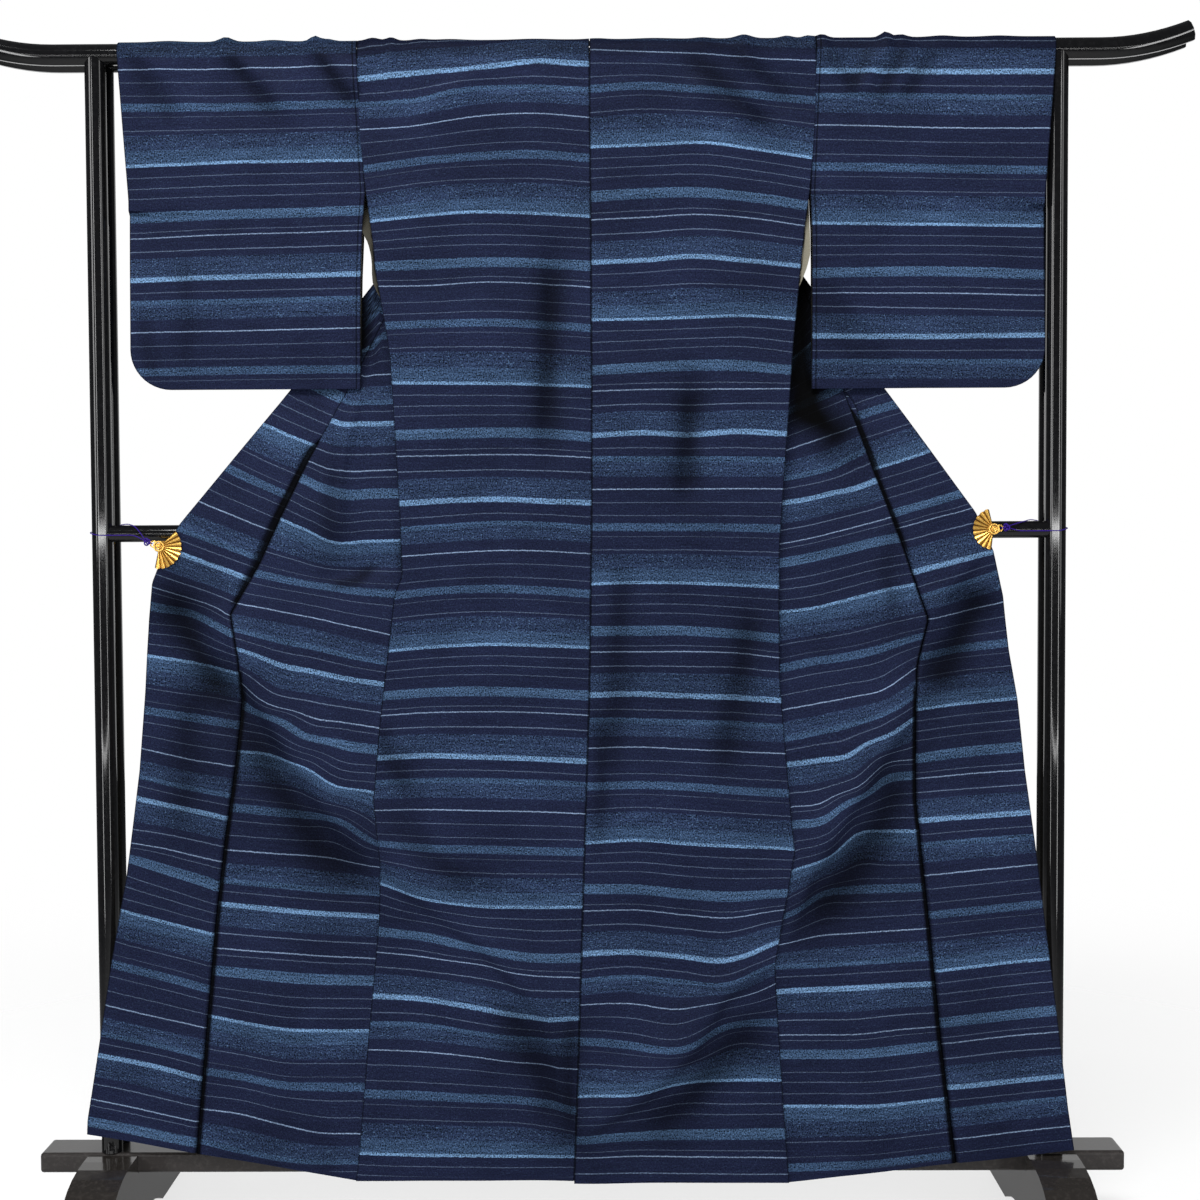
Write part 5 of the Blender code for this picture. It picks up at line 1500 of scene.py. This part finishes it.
def build_clip(name, clip, trim):
    """A pleated fan with its boss, its rim, the jaw behind and the ring for the cord."""
    gold = gold_plate()
    front, rear = clip_levels(clip)
    step = math.radians(clip["end"] - clip["start"]) / trim.ribs
    fan = piece_from(rib_mesh(clip["radius"], step), name, [gold])
    ribs_made = fan.modifiers.new("ribs", "NODES")
    ribs_made.node_group = fan_group()
    first = math.radians(clip["start"]) + step / 2
    group_input(ribs_made, {"Ribs": trim.ribs, "Start": first, "Step": step, "Finish": gold})
    made_plain(fan)
    fan.data.transform(Matrix.Translation(Vector((clip["x"], front, clip["z"])) * MM))
    bm = bmesh.new()
    bm.from_mesh(fan.data)
    boss = [(radius, front + y) for radius, y in BOSS_FRONT] + [(radius, rear + y) for radius, y in BOSS_REAR]
    turned_profile(bm, clip, boss)
    turned_profile(bm, clip, [(radius, front + y) for radius, y in RIM])
    add_jaw(bm, clip, rear)
    ring = np.array([
        (clip["ring_x"] + RING_RADIUS * math.cos(a), front - 1.0, clip["ring_z"] + RING_RADIUS * math.sin(a))
        for a in np.linspace(0, 2 * math.pi, 37)])
    strand(bm, ring, RING_WIRE, 10, closed=False)
    bmesh.ops.remove_doubles(bm, verts=bm.verts, dist=1e-7)
    bmesh.ops.recalc_face_normals(bm, faces=bm.faces)
    bm.to_mesh(fan.data)
    bm.free()
    smoothed(fan.data, 38)
    return fan


def cord_line(clip, front):
    """From the knot, round the front upright and over the crossbar, and back to the knot."""
    sign = math.copysign(1, clip["x"])
    length = math.hypot(clip["ring_x"] - clip["x"], clip["ring_z"] - clip["z"])
    way_x, way_z = (clip["ring_x"] - clip["x"]) / length, (clip["ring_z"] - clip["z"]) / length
    knot = (clip["ring_x"] + way_x * KNOT_OUT, front - 1.0, clip["ring_z"] + way_z * KNOT_OUT)
    around = TUBE_RADIUS + CORD_RADIUS + 0.9
    route = [knot, (sign * (abs(knot[0]) + 24), (knot[1] - FRAME_Y - around) / 2, CROSSBAR_Z - 2)]
    for angle in range(90, -107, -28):
        turn = math.radians(angle)
        rise = 9.0 * (90 - angle) / 196
        y = -FRAME_Y - around * math.sin(turn)
        route.append((sign * (UPRIGHT_X + around * math.cos(turn)), y, CROSSBAR_Z - 2 + rise))
    over = CROSSBAR_RADIUS + CORD_RADIUS + 0.7
    for step, angle in enumerate((135, 110, 85, 60)):
        turn = math.radians(angle)
        x = UPRIGHT_X - 18 - 9 * step
        route.append((sign * x, -FRAME_Y - over * math.cos(turn), CROSSBAR_Z + over * math.sin(turn)))
    route.append((knot[0] + sign * 1.5, knot[1] + 0.6, knot[2] + 1.5))
    return knot, route, (way_x, way_z)


def build_cord(name, clip, trim):
    """Two plies twisted round each other, a loop through the clip's ring and the knot."""
    front, _ = clip_levels(clip)
    knot, route, way = cord_line(clip, front)
    line = along_points(route, 260)
    bm = bmesh.new()
    sides, others = frames_along(line)
    ply = trim.cord_diameter / MM / 4
    for phase in (0.0, math.pi):
        turn = travelled(line) * 2 * math.pi / CORD_LAY + phase
        aside = np.cos(turn)[:, None] * sides + np.sin(turn)[:, None] * others
        strand(bm, line + ply * 0.95 * aside, ply, 6)
    loop = []
    for a in np.linspace(0, 2 * math.pi, 33):
        reach = RING_RADIUS + 1.0 + 3.4 * math.cos(a)
        y = front - 1.0 + 2.6 * math.sin(a)
        loop.append((clip["ring_x"] + way[0] * reach, y, clip["ring_z"] + way[1] * reach))
    strand(bm, np.array(loop), CORD_RADIUS * 0.8, 8, closed=False)
    wound = []
    for t in np.linspace(0, 2 * math.pi, 130):
        swing = 3.0 + 1.5 * math.cos(3 * t)
        rise = 1.15 * swing * math.sin(2 * t)
        wound.append((knot[0] + swing * math.cos(2 * t), knot[1] + 1.6 * math.sin(3 * t), knot[2] + rise))
    strand(bm, np.array(wound), CORD_RADIUS * 1.15, 8, closed=False)
    bmesh.ops.remove_doubles(bm, verts=bm.verts, dist=1e-7)
    return piece_from(bm, name, [purple_silk()])


def dress(obj, node):
    """The piece takes the solid's place: the solid is hidden and the piece hangs from the root body."""
    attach(obj, "root")
    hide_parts(node)
    return obj


def make_panel(name, grids, near, **look):
    """A lined panel in place of its solid; near is a point on its outer face."""
    wall = bpy.context.scene.kimono_cloth.thickness
    materials = [tsumugi(f"tsumugi_{name}", **look), lining_silk()]
    return dress(cloth_object(name, grids, (near, TO_VIEWER), wall, materials), name)


class KIMONO_OT_body(bpy.types.Operator):
    """Make the two body lengths, each back and front in one over the bar"""

    bl_idname = "kimono.body"
    bl_label = "Body lengths"

    def execute(self, context):
        neck = NECK_COLUMN + LIP_COLUMNS
        for side in (LEFT, RIGHT):
            back = back_rows(side)
            skip = {(len(back[0]) - 2, j) for j in range(neck)}
            *front, shift = front_rows(side, back[0][-1, neck:][::-1], back[1][-1, neck:][::-1])
            jumps = [(*side["back_jump"], True), (BEHIND_BAR, -shift, False)]
            near = (side["sign"] * 150, -60, 700)
            obj = make_panel(f"body_{side['name']}", [(*back, skip), front], near, jumps=jumps)
        return {"FINISHED"}


class KIMONO_OT_overlaps(bpy.types.Operator):
    """Make the two overlap panels"""

    bl_idname = "kimono.overlaps"
    bl_label = "Overlap panels"

    def execute(self, context):
        for side in (LEFT, RIGHT):
            obj = make_panel(f"okumi_{side['name']}", [overlap_rows(side)], (side["sign"] * 590, -60, 600))
        return {"FINISHED"}


class KIMONO_OT_sleeves(bpy.types.Operator):
    """Make the two sleeves as flat bags over the bar"""

    bl_idname = "kimono.sleeves"
    bl_label = "Sleeves"

    def execute(self, context):
        for name, x, weft in (("left", -480, WEFT_SLEEVE_LEFT), ("right", 480, WEFT_SLEEVE_RIGHT)):
            grids = sleeve_rows(SLEEVES[name], weft)
            obj = make_panel(f"sleeve_{name}", grids, (x, -60, 1500), second_line=6.0)
        return {"FINISHED"}


class KIMONO_OT_collar(bpy.types.Operator):
    """Make the collar band behind the fronts"""

    bl_idname = "kimono.collar"
    bl_label = "Collar"

    def execute(self, context):
        material = tsumugi("tsumugi_collar")
        outward = ((-40, 10, 1640), (0, 1, 0))
        obj = cloth_object("collar", [collar_rows()], outward, 2.0 * MM, [material, material])
        dress(obj, "collar")
        return {"FINISHED"}


class KIMONO_OT_stand(bpy.types.Operator):
    """Finish the stand in black lacquer"""

    bl_idname = "kimono.stand"
    bl_label = "Stand"

    def execute(self, context):
        stand = context.scene.kimono_stand
        satin = lacquer("satin_lacquer", tuple(stand.satin), 0.30, 0.35, 0.6)
        for name in TUBES:
            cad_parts[name].material_slots[0].material = lacquer(
                f"black_lacquer_{name}", tuple(stand.lacquer), stand.gloss, 0.0, 0.15, tube=name)
        worn = lacquer("foot_lacquer", tuple(stand.foot), 0.20, 0.45, 0.4)
        for name, finish in (("foot_left", worn), ("foot_right", worn), ("rail", satin)):
            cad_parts[name].material_slots[0].material = finish
        return {"FINISHED"}


class KIMONO_OT_clips(bpy.types.Operator):
    """Make the two gold fan clips"""

    bl_idname = "kimono.clips"
    bl_label = "Fan clips"

    def execute(self, context):
        for side, clip in CLIPS.items():
            name = f"fan_clip_{side}"
            dress(build_clip(name, clip, context.scene.kimono_trim), name)
        return {"FINISHED"}


class KIMONO_OT_cords(bpy.types.Operator):
    """Make the purple cords that tie the clips to the uprights"""

    bl_idname = "kimono.cords"
    bl_label = "Cords"

    def execute(self, context):
        for side, clip in CLIPS.items():
            name = f"purple_cord_{side}"
            dress(build_cord(name, clip, context.scene.kimono_trim), name)
        return {"FINISHED"}


# The lamps: place, what each points at, its width and height, and its power
LAMPS = {
    "key": ((-0.5, -2.7, 4.0), (0.0, 0.0, 0.9), (2.0, 0.9), 150),
    "left": ((-3.2, -2.0, 2.0), (0.0, 0.0, 0.9), (0.9, 2.2), 40),
    "right": ((3.3, -2.2, 1.8), (0.0, 0.0, 0.9), (0.9, 2.2), 18),
    "behind": ((0.0, 3.6, 1.3), (0.0, 0.0, 0.4), (5.0, 2.4), 30),
    "strip_left": ((-1.9, -2.4, 1.1), (-0.68, 0.0, 1.0), (0.26, 2.4), 20),
    "strip_right": ((1.9, -2.4, 1.1), (0.68, 0.0, 1.0), (0.26, 2.4), 20),
    "strip_low": ((0.0, -3.0, 1.0), (0.0, 0.0, 1.7), (5.0, 0.05), 16),
    "strip_lower": ((0.0, -2.9, 0.35), (0.0, 0.0, 1.7), (5.0, 0.04), 7),
}
CAMERA_PLACE = (0.0516, -2.7, 1.0347)
CAMERA_TURN = (-0.00765, 0.0423, -0.00488)


def add_lamp(name, place, target, size, power):
    light = bpy.data.lights.new(name, "AREA")
    light.shape = "RECTANGLE"
    light.size, light.size_y = size
    light.energy = power
    obj = bpy.data.objects.new(name, light)
    bpy.context.scene.collection.objects.link(obj)
    obj.location = place
    obj.rotation_mode = "QUATERNION"
    obj.rotation_quaternion = (Vector(target) - Vector(place)).to_track_quat("-Z", "Y")


def add_world(scene):
    """White behind the stand for the camera, and a faint cool fill for the light."""
    scene.world = bpy.data.worlds.new("studio")
    scene.world.use_nodes = True
    tree = scene.world.node_tree
    tree.nodes.clear()
    rays = tree.nodes.new("ShaderNodeLightPath")
    seen = add_node(tree, "ShaderNodeBackground", {"Color": (1.0, 1.0, 1.0, 1.0), "Strength": 1.0})
    fill = add_node(tree, "ShaderNodeBackground", {"Color": (0.93, 0.96, 1.0, 1.0), "Strength": 0.09})
    inputs = {0: rays.outputs["Is Camera Ray"], 1: fill.outputs[0], 2: seen.outputs[0]}
    mixed = add_node(tree, "ShaderNodeMixShader", inputs)
    tree.links.new(mixed.outputs[0], tree.nodes.new("ShaderNodeOutputWorld").inputs[0])


def add_floor(colour):
    """A pale round floor that fades out towards its edge."""
    bm = bmesh.new()
    bmesh.ops.create_circle(bm, cap_ends=True, cap_tris=True, segments=96, radius=3.2)
    material, tree, shader = new_material("pale_floor")
    where = object_place(tree)
    away = add_node(tree, "ShaderNodeVectorMath", {0: where}, operation="LENGTH").outputs["Value"]
    faded = product(tree, step_up(tree, away, 0.9, 2.9), 0.45)
    connect(tree, shader, {
        "Base Color": blend_colour(tree, noise(tree, where, 60.0, 4.0), times(colour, 0.97), (*colour, 1)),
        "Roughness": 0.7,
        "Emission Color": (1.0, 1.0, 1.0, 1.0),
        "Emission Strength": 0.40,
        "Alpha": maths(tree, "SUBTRACT", 0.45, faded),
    })
    piece_from(bm, "floor", [material])


def add_camera(scene, lens):
    """The photo's camera, turned by its yaw, pitch and roll."""
    camera = bpy.data.cameras.new("camera")
    camera.lens = lens
    camera.sensor_width = 36.0
    scene.camera = bpy.data.objects.new("camera", camera)
    scene.collection.objects.link(scene.camera)
    yaw, pitch, roll = CAMERA_TURN
    forward = Vector((math.sin(yaw) * math.cos(pitch), math.cos(yaw) * math.cos(pitch), -math.sin(pitch)))
    level = Vector((math.cos(yaw), -math.sin(yaw), 0.0))
    upward = level.cross(forward)
    right = math.cos(roll) * level + math.sin(roll) * upward
    up = -math.sin(roll) * level + math.cos(roll) * upward
    turn = Matrix((right, up, -forward)).transposed().to_4x4()
    scene.camera.matrix_world = Matrix.Translation(Vector(CAMERA_PLACE)) @ turn


class KIMONO_OT_stage(bpy.types.Operator):
    """Set the floor, the soft light and the camera"""

    bl_idname = "kimono.stage"
    bl_label = "Stage"

    def execute(self, context):
        scene = context.scene
        scene.view_settings.view_transform = "Standard"
        add_world(scene)
        add_floor(scene.kimono_stage.floor)
        for name, lamp in LAMPS.items():
            add_lamp(name, *lamp)
        add_camera(scene, scene.kimono_stage.lens)
        return {"FINISHED"}


class KIMONO_PT_panel(bpy.types.Panel):
    """Lists the steps that make the kimono"""

    bl_idname = "KIMONO_PT_panel"
    bl_label = "Kimono"
    bl_space_type = "VIEW_3D"
    bl_region_type = "UI"
    bl_category = "Kimono"

    def draw(self, context):
        layout = self.layout
        for operator in OPERATORS:
            layout.operator(operator.bl_idname)
        for name in GROUPS:
            group = getattr(context.scene, name)
            box = layout.box()
            for key in group.__annotations__:
                box.prop(group, key)


GROUPS = {
    "kimono_cloth": KimonoCloth,
    "kimono_stand": KimonoStand,
    "kimono_trim": KimonoTrim,
    "kimono_stage": KimonoStage,
}
OPERATORS = [
    KIMONO_OT_stage, KIMONO_OT_body, KIMONO_OT_overlaps, KIMONO_OT_sleeves, KIMONO_OT_collar, KIMONO_OT_stand,
    KIMONO_OT_clips, KIMONO_OT_cords,
]


def register():
    for cls in (*GROUPS.values(), *OPERATORS, KIMONO_PT_panel):
        bpy.utils.register_class(cls)
    for name, cls in GROUPS.items():
        setattr(bpy.types.Scene, name, bpy.props.PointerProperty(type=cls))


def unregister():
    for name in GROUPS:
        delattr(bpy.types.Scene, name)
    for cls in reversed((*GROUPS.values(), *OPERATORS, KIMONO_PT_panel)):
        bpy.utils.unregister_class(cls)


def main():
    register()
    bpy.ops.kimono.stage()
    bpy.ops.kimono.body()
    bpy.ops.kimono.overlaps()
    bpy.ops.kimono.sleeves()
    bpy.ops.kimono.collar()
    bpy.ops.kimono.stand()
    bpy.ops.kimono.clips()
    bpy.ops.kimono.cords()


if __name__ == "__main__":
    main()
